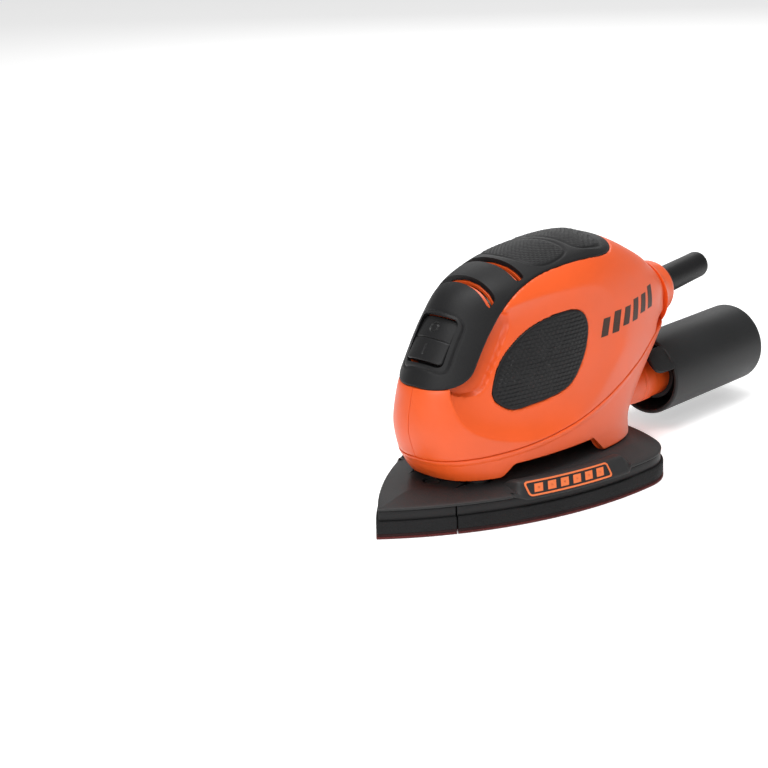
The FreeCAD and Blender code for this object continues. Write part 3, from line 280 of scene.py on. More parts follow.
FINISHES = {
    "orange_shell": dict(colour=(0.76, 0.092, 0.011), rough=0.42, vary=0.05, grain=0.5, bump=0.18),
    "black_grip": dict(colour=(0.0085, 0.0085, 0.009), rough=0.52, vary=0.15, grain=0.45,
                       bump=0.35),
    "guard_rubber": dict(colour=(0.0065, 0.0065, 0.007), rough=0.48, vary=0.15, grain=0.6,
                         bump=0.3),
    "leg_rubber": dict(colour=(0.02, 0.02, 0.02), rough=0.6, vary=0.2, grain=0.6, bump=0.3),
    "dark_plastic": dict(colour=(0.03, 0.03, 0.032), rough=0.5, grain=0.5),
    "pale_plastic": dict(colour=(0.55, 0.53, 0.47), rough=0.5, grain=0.5),
    "base_plastic": dict(colour=(0.022, 0.022, 0.0225), rough=0.5, vary=0.1, grain=0.55, bump=0.3,
                         wear=0.04),
    "band_plastic": dict(colour=(0.010, 0.010, 0.0105), rough=0.5, vary=0.1, grain=0.55, bump=0.3),
    "adapter_plastic": dict(colour=(0.015, 0.0155, 0.016), rough=0.5, vary=0.1, grain=0.6,
                            bump=0.3),
    "rocker_plastic": dict(colour=(0.011, 0.011, 0.0115), rough=0.42, vary=0.1, grain=0.5,
                           bump=0.2),
    "badge": dict(colour=(0.75, 0.17, 0.05), rough=0.45, vary=0.06, grain=0.4),
    "screw_steel": dict(colour=(0.55, 0.55, 0.56), rough=0.34, metal=1.0, vary=0.1, brush=6.0),
    "bearing_steel": dict(colour=(0.62, 0.62, 0.63), rough=0.25, metal=1.0, vary=0.08, brush=8.0),
    "ball_steel": dict(colour=(0.75, 0.75, 0.76), rough=0.12, metal=1.0, vary=0.03),
    "motor_steel": dict(colour=(0.42, 0.42, 0.44), rough=0.38, metal=1.0, vary=0.15, brush=5.0),
    "magnet": dict(colour=(0.05, 0.05, 0.055), rough=0.6, vary=0.2, grain=0.8, bump=0.4),
    "carbon": dict(colour=(0.02, 0.02, 0.021), rough=0.5, vary=0.2, grain=0.4, bump=0.4),
    "contact_brass": dict(colour=(0.72, 0.50, 0.18), rough=0.3, metal=1.0, vary=0.1, brush=5.0),
    "copper": dict(colour=(0.62, 0.22, 0.08), rough=0.32, metal=1.0, vary=0.2, brush=9.0),
    "board": dict(colour=(0.04, 0.16, 0.07), rough=0.45, vary=0.15, coat=0.3),
    "capacitor": dict(colour=(0.65, 0.42, 0.05), rough=0.35, coat=0.4),
    "lead_brown": dict(colour=(0.14, 0.06, 0.02), rough=0.45),
    "lead_blue": dict(colour=(0.03, 0.09, 0.34), rough=0.45),
    "lead_red": dict(colour=(0.40, 0.02, 0.02), rough=0.45),
    "foam": dict(colour=(0.010, 0.010, 0.0105), rough=0.85, vary=0.3, grain=0.9, bump=0.9),
    "hooks": dict(colour=(0.03, 0.012, 0.012), rough=0.9, vary=0.3, grain=0.5, bump=0.9),
    "abrasive": dict(colour=(0.085, 0.014, 0.014), rough=0.75, vary=0.25, grain=0.35, bump=0.9,
                     speck=((0.19, 0.05, 0.04), 2600.0)),
    "print_ink": dict(colour=(0.045, 0.020, 0.012), rough=0.5, vary=0.1),
}
MATERIALS = {name: material(name, **finish) for name, finish in FINISHES.items()}

for entry in frame["record"]["subparts"]:
    node = frame["nodes"][entry["node"]]
    finish = MATERIALS[entry["material_slot"]]
    if not node.data.materials:
        node.data.materials.append(finish)
    for index in range(len(node.material_slots)):
        node.material_slots[index].material = finish

# ---- mesh builders

def add_piece(name, verts, faces, slot, body, stands_for=(), finish=None, sharp=32.0):
    """One closed piece from millimetre points, riding on a body."""
    mesh = bpy.data.meshes.new(name)
    mesh.from_pydata([tuple(v) for v in np.asarray(verts, float) * MM], [],
                     [tuple(face) for face in faces])
    build = bmesh.new()
    build.from_mesh(mesh)
    bmesh.ops.remove_doubles(build, verts=build.verts, dist=1e-7)
    bmesh.ops.dissolve_degenerate(build, dist=1e-7, edges=build.edges)
    bmesh.ops.recalc_face_normals(build, faces=build.faces)
    build.to_mesh(mesh)
    build.free()
    mesh.polygons.foreach_set("use_smooth", [True] * len(mesh.polygons))
    mesh.set_sharp_from_angle(angle=math.radians(sharp))
    mesh.materials.append(MATERIALS[finish or slot])
    item = bpy.data.objects.new(name, mesh)
    bpy.context.collection.objects.link(item)
    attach(item, body)
    if stands_for:
        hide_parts(*stands_for)
    return item


def bridge(first, second):
    """Quads between two closed loops of vertex numbers."""
    count = len(first)
    return [(first[i], first[(i + 1) % count], second[(i + 1) % count], second[i])
            for i in range(count)]


def patch(outline, lay, thickness, edge=0.6, proud=0.0, relief=None, fine=0.5, back_rings=4):
    """A slab whose face follows a surface: rings shrink from its outline to its middle."""
    outline = turn_outwards(outline)
    middle = outline.mean(0)
    reach = np.linalg.norm(outline - middle, axis=1).max()
    shrink = [1.0]
    near = edge * 0.12 / reach
    while shrink[-1] > 0.03:
        shrink.append(shrink[-1] - near)
        near = min(near * 1.35, fine / reach)
    rings, faces, verts = [], [], []
    count = len(outline)
    for s in shrink:
        flat = middle + s * (outline - middle)
        depth = -edge_distance(flat, outline) if s > 0.6 else np.full(count, 9.0)
        depth = np.clip(depth, 0, None) if s < 1 else np.zeros(count)
        inner = np.clip(edge - depth, 0, edge)
        drop = edge - np.sqrt(np.clip(edge ** 2 - inner ** 2, 0, None))
        points, normals = lay(flat)
        height = proud - drop
        if relief is not None:
            height = height + relief(flat, depth)
        rings.append(range(len(verts), len(verts) + count))
        verts.extend(points + height[:, None] * normals)
    points, normals = lay(middle[None])
    height = proud + (relief(middle[None], np.array([9.0]))[0] if relief is not None else 0)
    top = len(verts)
    verts.extend(points + height * normals)
    for a, b in zip(rings, rings[1:]):
        faces += bridge(a, b)
    faces += [(rings[-1][i], rings[-1][(i + 1) % count], top) for i in range(count)]
    back = []
    for s in np.linspace(1.0, 0.1, back_rings):
        points, normals = lay(middle + s * (outline - middle))
        back.append(range(len(verts), len(verts) + count))
        verts.extend(points - thickness * normals)
    points, normals = lay(middle[None])
    bottom = len(verts)
    verts.extend(points - thickness * normals)
    faces += bridge(back[0], rings[0])
    for a, b in zip(back, back[1:]):
        faces += bridge(b, a)
    faces += [(back[-1][(i + 1) % count], back[-1][i], bottom) for i in range(count)]
    return np.array(verts), faces


def revolve(profile, origin, axis, steps=96):
    """A closed ring of revolution from (radius, distance along the axis) points in order."""
    axis = np.asarray(axis, float) / np.linalg.norm(axis)
    side = np.cross(axis, (0, 1, 0) if abs(axis[1]) < 0.9 else (1, 0, 0))
    side /= np.linalg.norm(side)
    other = np.cross(axis, side)
    verts, loops = [], []
    for radius, along in profile:
        loops.append(range(len(verts), len(verts) + steps))
        for i in range(steps):
            a = 2 * math.pi * i / steps
            verts.append(np.asarray(origin, float) + along * axis
                         + radius * (math.cos(a) * side + math.sin(a) * other))
    faces = []
    for a, b in zip(loops, loops[1:] + loops[:1]):
        faces += bridge(a, b)
    return np.array(verts), faces


def eased(profile, radius=0.4, steps=3):
    """The same profile with every corner rounded a little."""
    points = [np.asarray(p, float) for p in profile]
    result = []
    for i, here in enumerate(points):
        before, after = points[i - 1], points[(i + 1) % len(points)]
        reach_in, reach_out = np.linalg.norm(before - here), np.linalg.norm(after - here)
        cut = min(radius, 0.4 * reach_in, 0.4 * reach_out)
        start, end = here + (before - here) * cut / reach_in, here + (after - here) * cut / reach_out
        for t in np.linspace(0, 1, steps + 1):
            result.append((1 - t) ** 2 * start + 2 * t * (1 - t) * here + t ** 2 * end)
    return result


def slab(name, outline, bottom, top, slot, body, stands_for=(), finish=None, bevel=0.35, tilt=None):
    """A flat-topped slab with eased edges."""
    outline = turn_outwards(np.asarray(outline, float))
    count = len(outline)
    verts = [(x, y, bottom) for x, y in outline] + [(x, y, top) for x, y in outline]
    if tilt is not None:
        verts = [tilt(np.array(v)) for v in verts]
    faces = [tuple(range(count))[::-1], tuple(range(count, 2 * count))]
    faces += bridge(range(count), range(count, 2 * count))
    item = add_piece(name, verts, faces, slot, body, stands_for, finish)
    ease = item.modifiers.new("eased_edges", "BEVEL")
    ease.width = bevel * MM
    ease.segments = 2
    ease.limit_method = "ANGLE"
    ease.angle_limit = math.radians(55)
    settle(item)
    return item


def settle(item, sharp=32.0):
    """Turn an item's modifiers into its mesh."""
    graph = bpy.context.evaluated_depsgraph_get()
    mesh = bpy.data.meshes.new_from_object(item.evaluated_get(graph))
    mesh.polygons.foreach_set("use_smooth", [True] * len(mesh.polygons))
    mesh.set_sharp_from_angle(angle=math.radians(sharp))
    item.modifiers.clear()
    item.data = mesh


def volume(mesh):
    build = bmesh.new()
    build.from_mesh(mesh)
    result = abs(build.calc_volume(signed=True))
    build.free()
    return result


def carve_once(item, points, polygons):
    mesh = bpy.data.meshes.new("cutter")
    mesh.from_pydata([tuple(v) for v in np.asarray(points, float) * MM], [],
                     [tuple(polygon) for polygon in polygons])
    build = bmesh.new()
    build.from_mesh(mesh)
    bmesh.ops.recalc_face_normals(build, faces=build.faces)
    build.to_mesh(mesh)
    build.free()
    tool = bpy.data.objects.new("cutter", mesh)
    bpy.context.collection.objects.link(tool)
    cut = item.modifiers.new("cut", "BOOLEAN")
    cut.operation = "DIFFERENCE"
    cut.solver = "EXACT"
    cut.object = tool
    bpy.context.view_layer.update()
    settle(item)
    bpy.data.objects.remove(tool)
    return volume(mesh)


# small moves, in millimetres, that free a cutter from edges it happens to share with the piece
NUDGES = (0.0, 0.013, -0.017, 0.029, -0.037, 0.05)


def carve(item, cutters):
    """Cut closed shapes, given as (points, faces), out of a piece; a failed cut is tried again."""
    for points, polygons in cutters:
        whole = item.data
        start = volume(whole)
        for nudge in NUDGES:
            taken = carve_once(item, np.asarray(points, float) + nudge, polygons)
            lost = start - volume(item.data)
            slack = 0.01 * start
            if -slack < lost < 1.05 * taken + slack:
                break
            item.data = whole
        else:
            print("carve: no clean cut in", item.name)


def upright(outline, bottom, top):
    """A straight closed column over an outline, as (points, faces)."""
    outline = turn_outwards(np.asarray(outline, float))
    count = len(outline)
    verts = [(x, y, bottom) for x, y in outline] + [(x, y, top) for x, y in outline]
    faces = [tuple(range(count))[::-1], tuple(range(count, 2 * count))]
    return np.array(verts), faces + bridge(range(count), range(count, 2 * count))


def round_outline(radius, centre, count=40):
    a = np.linspace(0, 2 * math.pi, count, endpoint=False)
    return np.stack([centre[0] + radius * np.cos(a), centre[1] + radius * np.sin(a)], 1)


# ---- soft cap and finger pads

ROOT = math.sqrt(0.5)
PLANE_U, PLANE_W = np.array([ROOT, 0, ROOT]), np.array([-ROOT, 0, ROOT])


def cap_outline(count=420):
    """The cap's outline in a plane that leans 45 degrees over the nose: along it, and across."""
    front, rear, front_round, rear_round = 6.4, 109.8, 15.5, 17.5
    along = np.linspace(0, 1, 160)
    u = front + (rear - front) * (1 - np.cos(math.pi * along)) / 2
    width = 18.0 + 2.4 * smooth_step(u, 66, 96)
    near = np.clip(front_round - (u - front), 0, front_round)
    width = width - front_round + np.sqrt(front_round ** 2 - near ** 2)
    far = np.clip(rear_round - (rear - u), 0, rear_round)
    width = width - rear_round + np.sqrt(rear_round ** 2 - far ** 2)
    loop = np.vstack([np.stack([u, width], 1), np.stack([u, -width], 1)[::-1]])
    return even_loop(loop, count)


def lay_on_crown(flat):
    """Points and outward directions on the form under places in the leaning plane."""
    start = flat[:, :1] * PLANE_U + flat[:, 1:] * np.array([0, 1.0, 0]) + 100.0 * PLANE_W
    points = cast(start, -np.tile(PLANE_W, (len(flat), 1)), 130.0)
    return points, form_normal(points, 1.0)


CAP_LOOP = cap_outline()
PAD_LOOP = closed_curve([(-23.4, 52.4), (-19.3, 60.8), (-13.4, 66.5), (-6.8, 71.0), (-0.4, 73.8),
                         (7.2, 75.7), (14.9, 76.5), (20.6, 76.0), (24.8, 73.8), (26.6, 69.7),
                         (26.2, 65.2), (24.1, 59.4), (21.0, 54.8), (16.8, 49.6), (12.0, 46.1),
                         (2.3, 43.9), (-6.7, 43.2), (-12.9, 42.6), (-16.6, 43.2), (-20.0, 45.2),
                         (-23.0, 48.2)], 300, 2)
THUMB_LOOPS = [
    closed_curve([(72, -13), (74, -16.5), (82, -17), (88.5, -14.5), (90, -8), (88.5, 0), (86, 8),
                  (84, 14.5), (79, 17), (74, 16), (71.5, 11), (71, 0)], 220),
    closed_curve([(92.5, -8), (91.5, -15), (97, -17.3), (102.5, -15), (105.6, -8), (106.4, 0),
                  (105.6, 8), (102.5, 15), (96, 17.3), (87.5, 16.5), (88.5, 8.5), (91, 0)], 220)]
SWITCH_FRAME = rounded_box(11.7, 11.5, 4.0, 200)
SWITCH_FRAME_U, SWITCH_FRAME_LEAN = 24.94, 0.972
PIP = 1.9


def cap_relief(flat, depth):
    """Small pips on the thumb areas, a fine line round each, and a frame round the switch."""
    height = np.zeros(len(flat))
    for loop in THUMB_LOOPS:
        away = edge_distance(flat, loop)
        height -= 0.32 * np.exp(-(away / 0.42) ** 2)
        pips = np.sin(flat[:, 0] * 2 * math.pi / PIP) * np.sin(flat[:, 1] * 2 * math.pi / PIP)
        height += 0.22 * np.clip(pips, -0.4, 1) * smooth_step(-away, 0.5, 1.3)
    near = flat[:, 0] < 42
    up = (flat[near, 0] - SWITCH_FRAME_U) / SWITCH_FRAME_LEAN
    about_switch = np.stack([up, flat[near, 1]], 1)
    away = edge_distance(about_switch, SWITCH_FRAME)
    height[near] -= 0.34 * np.exp(-(away / 0.4) ** 2)
    height[near] += 0.22 * smooth_step(-away, 0.3, 0.9)
    return height


FACING = {"left": -1.0, "right": 1.0}


def lay_on_side(side):
    def lay(flat):
        x, z = flat[:, 0], flat[:, 1]

        def point(x, z):
            return np.stack([x, side * side_reach(x, z), z], 1)
        here = point(x, z)
        across = np.cross(point(x + 0.3, z) - point(x - 0.3, z),
                          point(x, z + 0.3) - point(x, z - 0.3))
        across *= np.sign(across[:, 1:2]) * side
        return here, across / np.linalg.norm(across, axis=1, keepdims=True)
    return lay


SCALE_WIDE, SCALE_HIGH = 2.1, 1.55


def pad_relief(flat, depth):
    """Overlapping scales, set in a plain border."""
    x, z = flat[:, 0], flat[:, 1]
    row = z / SCALE_HIGH
    shift = 0.5 * (np.floor(row) % 2)
    across = (x / SCALE_WIDE + shift) % 1.0 - 0.5
    up = row % 1.0
    scale = np.clip(1 - (across / 0.5) ** 2, 0, 1) ** 0.5 * (0.25 + 0.75 * up)
    return (0.42 * scale - 0.25) * smooth_step(depth, 0.9, 1.6)


# cooling slots through the cap, as (x, half length), and the finer ones in the shells under them
SLOTS = [(-17.5, 15.2), (-1.8, 16.2)]
SLOT_HALF = 2.2
SHELL_SLOT_HALF, SHELL_SLOT_SHORTER, SHELL_SLOT_SHIFT = 0.75, 0.9, 1.15


def slot_cutter(x, half_long, half_wide, shift=0.0):
    corner = min(half_wide, 1.2) * 0.95
    return upright(rounded_box(half_wide, half_long, corner, 60, (x + shift, 0)), 60, 130)


# the switch's own axes: up the nose, across it, and out of it
SWITCH_AT = np.array([-37.76, 0.0, 73.03])
PIVOT_X, PIVOT_Z, PIVOT_DEPTH = -32.561, 67.738, 7.2
LEAN = math.radians(31.5)
SWITCH_UP = np.array([math.sin(LEAN), 0, math.cos(LEAN)])
SWITCH_OUT = np.array([-math.cos(LEAN), 0, math.sin(LEAN)])
ACROSS = np.array([0, 1.0, 0])
ROCKER_HALF, ROCKER_WIDE = 9.2, 9.0


def lay_on_nose(flat):
    start = SWITCH_AT + flat[:, :1] * SWITCH_UP + flat[:, 1:] * ACROSS + 12.0 * SWITCH_OUT
    points = cast(start, -np.tile(SWITCH_OUT, (len(flat), 1)), 40.0)
    return points, np.tile(SWITCH_OUT, (len(flat), 1))


verts, faces = patch(CAP_LOOP, lay_on_crown, 1.45, edge=0.75, proud=0.12, relief=cap_relief,
                     fine=0.45)
cap = add_piece("soft_cap", verts, faces, "black_grip", "housing", ("top_grip",))
opening = rounded_box(ROCKER_HALF + 0.8, ROCKER_WIDE + 0.4, 2.4, 80)
verts, faces = upright(opening, -9, 9)
opening_cutter = (SWITCH_AT + verts[:, :1] * SWITCH_UP + verts[:, 1:2] * ACROSS
                  + verts[:, 2:] * SWITCH_OUT, faces)
carve(cap, [opening_cutter] + [slot_cutter(x, half, SLOT_HALF) for x, half in SLOTS])

for name, side in FACING.items():
    verts, faces = patch(PAD_LOOP, lay_on_side(side), 1.3, edge=0.7, proud=0.25, relief=pad_relief,
                         fine=0.42)
    add_piece("finger_pad_" + name, verts, faces, "black_grip", "housing", ("side_grip_" + name,),
              finish="guard_rubber")

# ---- housing shells

STEP = 0.7


def section(turn, z, side):
    """A place on one level of the form; turn runs from 0 at the tail to pi at the nose."""
    c, s = np.cos(turn), np.abs(np.sin(turn))
    s = np.where(s < 1e-9, 0, s)
    reach = np.where(c > 0, TAIL(z) - WIDEST(z), WIDEST(z) - NOSE(z))
    power = 2 / np.where(c > 0, TAIL_ROUND(z), NOSE_ROUND)
    x = WIDEST(z) + np.sign(c) * reach * np.abs(c) ** power
    y = HALF(z) * s ** (2 / SIDE_ROUND(z))
    y = np.where(s > 0, y - np.clip(hollow_depth(x, z, y), 0, HOLLOW_SHARE * y), 0)
    return np.stack([x, side * np.clip(y, 0, None), z + 0 * x], -1)


def even_turns(z, step):
    """Turns from tail to nose with even spacing along one level, closer together at both ends."""
    fine = np.linspace(0, math.pi, 4001)
    loop = section(fine, np.full(fine.shape, z), 1.0)
    run = np.r_[0, np.cumsum(np.linalg.norm(np.diff(loop, axis=0), axis=1))]
    inner = np.linspace(1.0, run[-1] - 1.0, int(run[-1] / step))
    ends = np.array([0, 0.12, 0.26, 0.42, 0.65])
    return np.interp(np.r_[ends, inner, run[-1] - ends[::-1]], run, fine)


TURNS = even_turns(52.0, STEP)


def surface_normals(grid):
    """Outward directions of a grid of points (rows, columns, 3)."""
    up = np.gradient(grid, axis=0)
    along = np.gradient(grid, axis=1)
    n = np.cross(along, up)
    length = np.linalg.norm(n, axis=2, keepdims=True)
    return n / np.where(length < 1e-12, 1, length)


def thick_grid(outer, inner, closed):
    """A closed skin between two grids of the same size."""
    rows, columns = outer.shape[:2]
    verts = np.vstack([outer.reshape(-1, 3), inner.reshape(-1, 3)])
    shift = rows * columns
    faces = []
    spans = columns if closed else columns - 1
    for i in range(rows - 1):
        for j in range(spans):
            k = (j + 1) % columns
            a, b = i * columns + j, i * columns + k
            c, d = b + columns, a + columns
            faces += [(a, b, c, d), (shift + d, shift + c, shift + b, shift + a)]
    for j in range(spans):
        k = (j + 1) % columns
        top = (rows - 1) * columns
        faces += [(k, j, shift + j, shift + k),
                  (top + j, top + k, shift + top + k, shift + top + j)]
    if not closed:
        for i in range(rows - 1):
            a, b = i * columns, (i + 1) * columns
            c, d = a + columns - 1, b + columns - 1
            faces += [(a, b, shift + b, shift + a), (d, c, shift + c, shift + d)]
    return verts, faces


def eased_edge(distance, radius):
    """How far a surface falls back near an edge, to round it."""
    near = np.clip(radius - distance, 0, radius)
    return radius - np.sqrt(np.clip(radius ** 2 - near ** 2, 0, None))


def seat_depth(distance, depth, soft=0.55):
    """Depth of a recess inside an outline, with an eased lip outside it."""
    lip = eased_edge(np.clip(distance + 0.1, 0, None), soft)
    return depth * smooth_step(-distance, -0.15, 0.6) + lip


SHELL_THICK, SHROUD_THICK = 3.0, 2.9
SEAM_GAP = 0.12
CAP_SEAT, PAD_SEAT = 1.5, 1.15
MIDDLE_CLEAR = 0.03


def upper_shell(name, side):
    rows = int(96 / STEP)
    columns = len(TURNS)
    turn = np.tile(TURNS, (rows, 1))
    probe = np.linspace(30.0, CREST, 600)
    run = np.zeros(600)
    for at in (0.25 * math.pi, 0.5 * math.pi, 0.8 * math.pi):
        line = section(np.full(600, at), probe, 1.0)
        run[1:] += np.cumsum(np.linalg.norm(np.diff(line, axis=0), axis=1))
    climb = (probe - probe[0]) / (probe[-1] - probe[0])
    share = np.interp(np.linspace(0, run[-1], rows - 4), run, climb)
    share = np.r_[[0, 0.002, 0.0045, 0.0075], 0.011 + (1 - 0.011) * share]
    bottom = np.full(columns, 30.0)
    for _ in range(6):
        bottom = seam_height(section(TURNS, bottom, side)[:, 0]) + SEAM_GAP
    z = bottom[None] + share[:, None] * (CREST - bottom[None])
    grid = section(turn, z, side)
    normals = surface_normals(grid) * side
    flat = np.stack([(grid[..., 0] + grid[..., 2]) * ROOT, grid[..., 1]], -1).reshape(-1, 2)
    to_cap = edge_distance(flat, CAP_LOOP).reshape(rows, columns)
    to_cap = np.where(grid[..., 2] > 50, to_cap, 50.0)
    to_pad = edge_distance(grid[..., (0, 2)].reshape(-1, 2), PAD_LOOP).reshape(rows, columns)
    to_pad = np.where(np.abs(grid[..., 1]) > 12, to_pad, 50.0)
    depth = np.maximum(seat_depth(to_cap, CAP_SEAT), seat_depth(to_pad, PAD_SEAT))
    middle = eased_edge(np.abs(grid[..., 1]), 0.32)
    seam = eased_edge(z - bottom[None], 0.4)
    outer = grid - (depth + np.maximum(middle, seam))[..., None] * normals
    inner = grid - SHELL_THICK * normals
    for skin in (outer, inner):
        skin[..., 1] = side * np.clip(side * skin[..., 1], MIDDLE_CLEAR, None)
    verts, faces = thick_grid(outer, inner, False)
    return add_piece("shell_" + name, verts, faces, "orange_shell", "housing", ("housing_" + name,))


SCREW_PLACES = [(-38.0, 38.0), (36.0, 42.0), (62.0, 82.0), (76.0, 54.6)]
SCREW_WELL = 3.5
for name, side in FACING.items():
    shell = upper_shell(name, side)
    cutters = [opening_cutter] + [
        slot_cutter(x, half - SHELL_SLOT_SHORTER, SHELL_SLOT_HALF, SHELL_SLOT_SHIFT)
        for x, half in SLOTS]
    if name == "right":
        for x, z in SCREW_PLACES:
            points, polygons = upright(round_outline(SCREW_WELL, (x, z)), 11.5, 60)
            cutters.append((points[:, (0, 2, 1)], polygons))
    carve(shell, cutters)

# the lower shroud, from its bottom edge up to the seam


def shroud_bottom(x):
    rise = smooth_step(x, -23.5, -17.0)
    drop = smooth_step(x, 25.6, 27.2)
    return 17.0 + 5.0 * rise - 6.4 * drop


def lower_shroud():
    loop = np.r_[TURNS, 2 * math.pi - TURNS[-2:0:-1]]
    columns = len(loop)
    side = np.where(loop <= math.pi, 1.0, -1.0)
    top, bottom = np.full(columns, 30.0), np.full(columns, 20.0)
    for _ in range(8):
        top = seam_height(section(loop, top, side)[:, 0]) - SEAM_GAP
        bottom = 0.5 * bottom + 0.5 * shroud_bottom(section(loop, bottom, side)[:, 0])
    rows = int(22 / STEP) + 10
    share = np.r_[[0, 0.012, 0.03, 0.055], np.linspace(0.085, 0.93, rows - 8),
                  [0.955, 0.975, 0.99, 1.0]]
    z = bottom[None] + share[:, None] * (top - bottom)[None]
    grid = section(np.tile(loop, (rows, 1)), z, np.tile(side, (rows, 1)))
    normals = surface_normals(grid)
    facing = np.sign(np.sum(normals * (grid - np.array([15.0, 0, 30.0])), axis=2).mean())
    normals *= facing
    fall = np.maximum(eased_edge(top[None] - z, 0.4), eased_edge(z - bottom[None], 0.45))
    fall = fall - 0.28 * smooth_step(z, -2.4 + top[None], -1.2 + top[None])
    verts, faces = thick_grid(grid - fall[..., None] * normals, grid - SHROUD_THICK * normals, True)
    return add_piece("lower_shroud_skin", verts, faces, "orange_shell", "housing",
                     ("lower_shroud",))


shroud = lower_shroud()
pipe_cut = revolve([(0.01, 52), (9.4, 52), (9.4, 90), (0.01, 90)], (0, 0, 23), (1, 0, 0), 60)
carve(shroud, [pipe_cut])

FLOOR_Z = 22.6
floor_turns = np.linspace(0, 2 * math.pi, 200, endpoint=False)
rim = section(floor_turns, np.full(200, 23.0), np.where(floor_turns <= math.pi, 1.0, -1.0))[:, :2]
rim = np.array([15.0, 0]) + (rim - np.array([15.0, 0])) * 0.955
MOTOR_X, ECCENTRIC = 8.0, 0.9
eye = np.array([MOTOR_X, 0]) + 18.5 * np.stack([np.cos(floor_turns), np.sin(floor_turns)], 1)
levels = [(rim, FLOOR_Z), (rim, FLOOR_Z + 2), (eye, FLOOR_Z + 2), (eye, FLOOR_Z)]
verts = [(x, y, z) for ring, z in levels for x, y in ring]
faces = []
for i in range(4):
    k = (i + 1) % 4
    faces += bridge(range(200 * i, 200 * (i + 1)), range(200 * k, 200 * (k + 1)))
add_piece("shroud_floor", verts, faces, "orange_shell", "housing")

# ---- cord boss, cord guard, dust outlet

TILT = math.radians(5.0)
GUARD_AT, GUARD_ALONG = np.array([108.0, 0, 63.0]), np.array([math.cos(TILT), 0, math.sin(TILT)])
boss = [(6.65, -14), (16.0, -14), (15.0, -12.6), (13.7, -10.6), (12.8, -8.4), (12.2, -6.2),
        (11.8, -4.6), (10.8, -2.8), (9.4, -1.6), (7.8, -1.1), (6.65, -1.1)]
verts, faces = revolve(eased(boss, 0.6), GUARD_AT, GUARD_ALONG)
add_piece("cord_boss", verts, faces, "orange_shell", "housing")
sleeve = [(3.5, -17), (8.2, -17), (8.2, -14.1), (6.55, -14.1), (6.55, 2.2), (6.35, 2.8), (6.1, 3.2),
          (5.95, 14), (5.8, 24.5), (5.8, 28.6), (5.3, 30.0), (3.5, 30.0)]
verts, faces = revolve(eased(sleeve, 0.35), GUARD_AT, GUARD_ALONG)
add_piece("cord_sleeve", verts, faces, "guard_rubber", "housing", ("cord_guard",))

SPIGOT_AT = (0, 0, 23.0)
outlet = [(7.5, 62), (9.6, 62), (9.75, 70), (9.75, 73), (9.55, 76), (9.5, 84), (9.8, 87.4),
          (9.35, 88.1), (9.35, 88.9), (9.85, 89.6), (9.85, 95.0), (9.5, 95.5), (9.5, 120.0),
          (7.5, 120.0)]
verts, faces = revolve(eased(outlet, 0.3), SPIGOT_AT, (1, 0, 0))
add_piece("dust_outlet", verts, faces, "orange_shell", "housing", ("dust_spigot",))

tube = [(9.56, 104), (11.5, 104), (11.5, 119.5), (15.5, 119.5), (15.5, 99.9), (16.0, 99.0),
        (17.0, 99.0), (17.5, 99.9), (17.5, 163.0), (17.1, 164.0), (16.0, 164.0), (15.5, 163.2),
        (15.5, 122.0), (9.56, 122.0)]
verts, faces = revolve(eased(tube, 0.35), SPIGOT_AT, (1, 0, 0), 128)
add_piece("dust_tube", verts, faces, "adapter_plastic", "dust_adapter", ("dust_adapter",))
lug = closed_curve([(88, -5.2), (95, -5.9), (101, -5.9), (102.5, 0), (101, 5.9), (95, 5.9),
                    (88, 5.2), (86.2, 0)], 90, 2)
for name, turn in (("left", 48.0), ("right", -48.0)):
    spin = np.array(Matrix.Rotation(math.radians(turn), 3, "X"))

    def lean(v, spin=spin):
        bow = v[1] ** 2 / 40.0
        return spin @ (v + np.array([0, 0, 15.6 - bow])) + np.array([0, 0, 23.0])
    slab("tube_lug_" + name, lug, 0.0, 1.8, "adapter_plastic", "dust_adapter", tilt=lean, bevel=0.6)

# ---- rocker switch

ROCKER_LOOP = rounded_box(ROCKER_HALF, ROCKER_WIDE, 1.9, 260)


def rocker_relief(flat, depth):
    up, across = flat[:, 0], flat[:, 1]
    height = -0.45 * np.exp(-(up / 0.28) ** 2) - 0.03 * up
    ring = np.abs(np.hypot((up - 4.7), across) - 1.85)
    bar = np.hypot(np.clip(np.abs(up + 4.7) - 1.8, 0, None), across)
    return height - 0.5 * np.exp(-(ring / 0.36) ** 2) - 0.5 * np.exp(-(bar / 0.4) ** 2)


PIVOT = np.array([PIVOT_X, 0.0, PIVOT_Z])


def rocked(points, turn=math.radians(5.0)):
    """Tip the paddle to its off side, about its pivot."""
    x, z = points[:, 0] - PIVOT_X, points[:, 2] - PIVOT_Z
    c, s = math.cos(turn), math.sin(turn)
    return np.stack([PIVOT_X + c * x + s * z, points[:, 1], PIVOT_Z - s * x + c * z], 1)


verts, faces = patch(ROCKER_LOOP, lay_on_nose, 3.2, edge=0.45, proud=-0.12, relief=rocker_relief,
                     fine=0.22)
add_piece("rocker_paddle", rocked(verts), faces, "rocker_plastic", "rocker", ("switch_rocker",))
verts, faces = revolve([(0.01, -9.3), (1.5, -9.3), (1.5, 9.3), (0.01, 9.3)], PIVOT, (0, 1, 0), 32)
add_piece("rocker_pivot", verts, faces, "rocker_plastic", "rocker")
verts, faces = upright(rounded_box(3.8, 7.6, 0.8, 60), -9.4, -2.4)
verts = (PIVOT + verts[:, :1] * SWITCH_UP + verts[:, 1:2] * ACROSS
         + (verts[:, 2:] + PIVOT_DEPTH) * SWITCH_OUT)
add_piece("rocker_stem", rocked(verts), faces, "rocker_plastic", "rocker")

# ---- print on the side: plain slanted bars

def slanted(x, z, half_wide, half_high, lean, count=64):
    """A leaning bar's outline about a place."""
    corners = [(x + lean * up + across * half_wide, z + up * half_high)
               for across, up in ((-1, -1), (1, -1), (1, 1), (-1, 1))]
    return even_loop(np.array(corners), count)


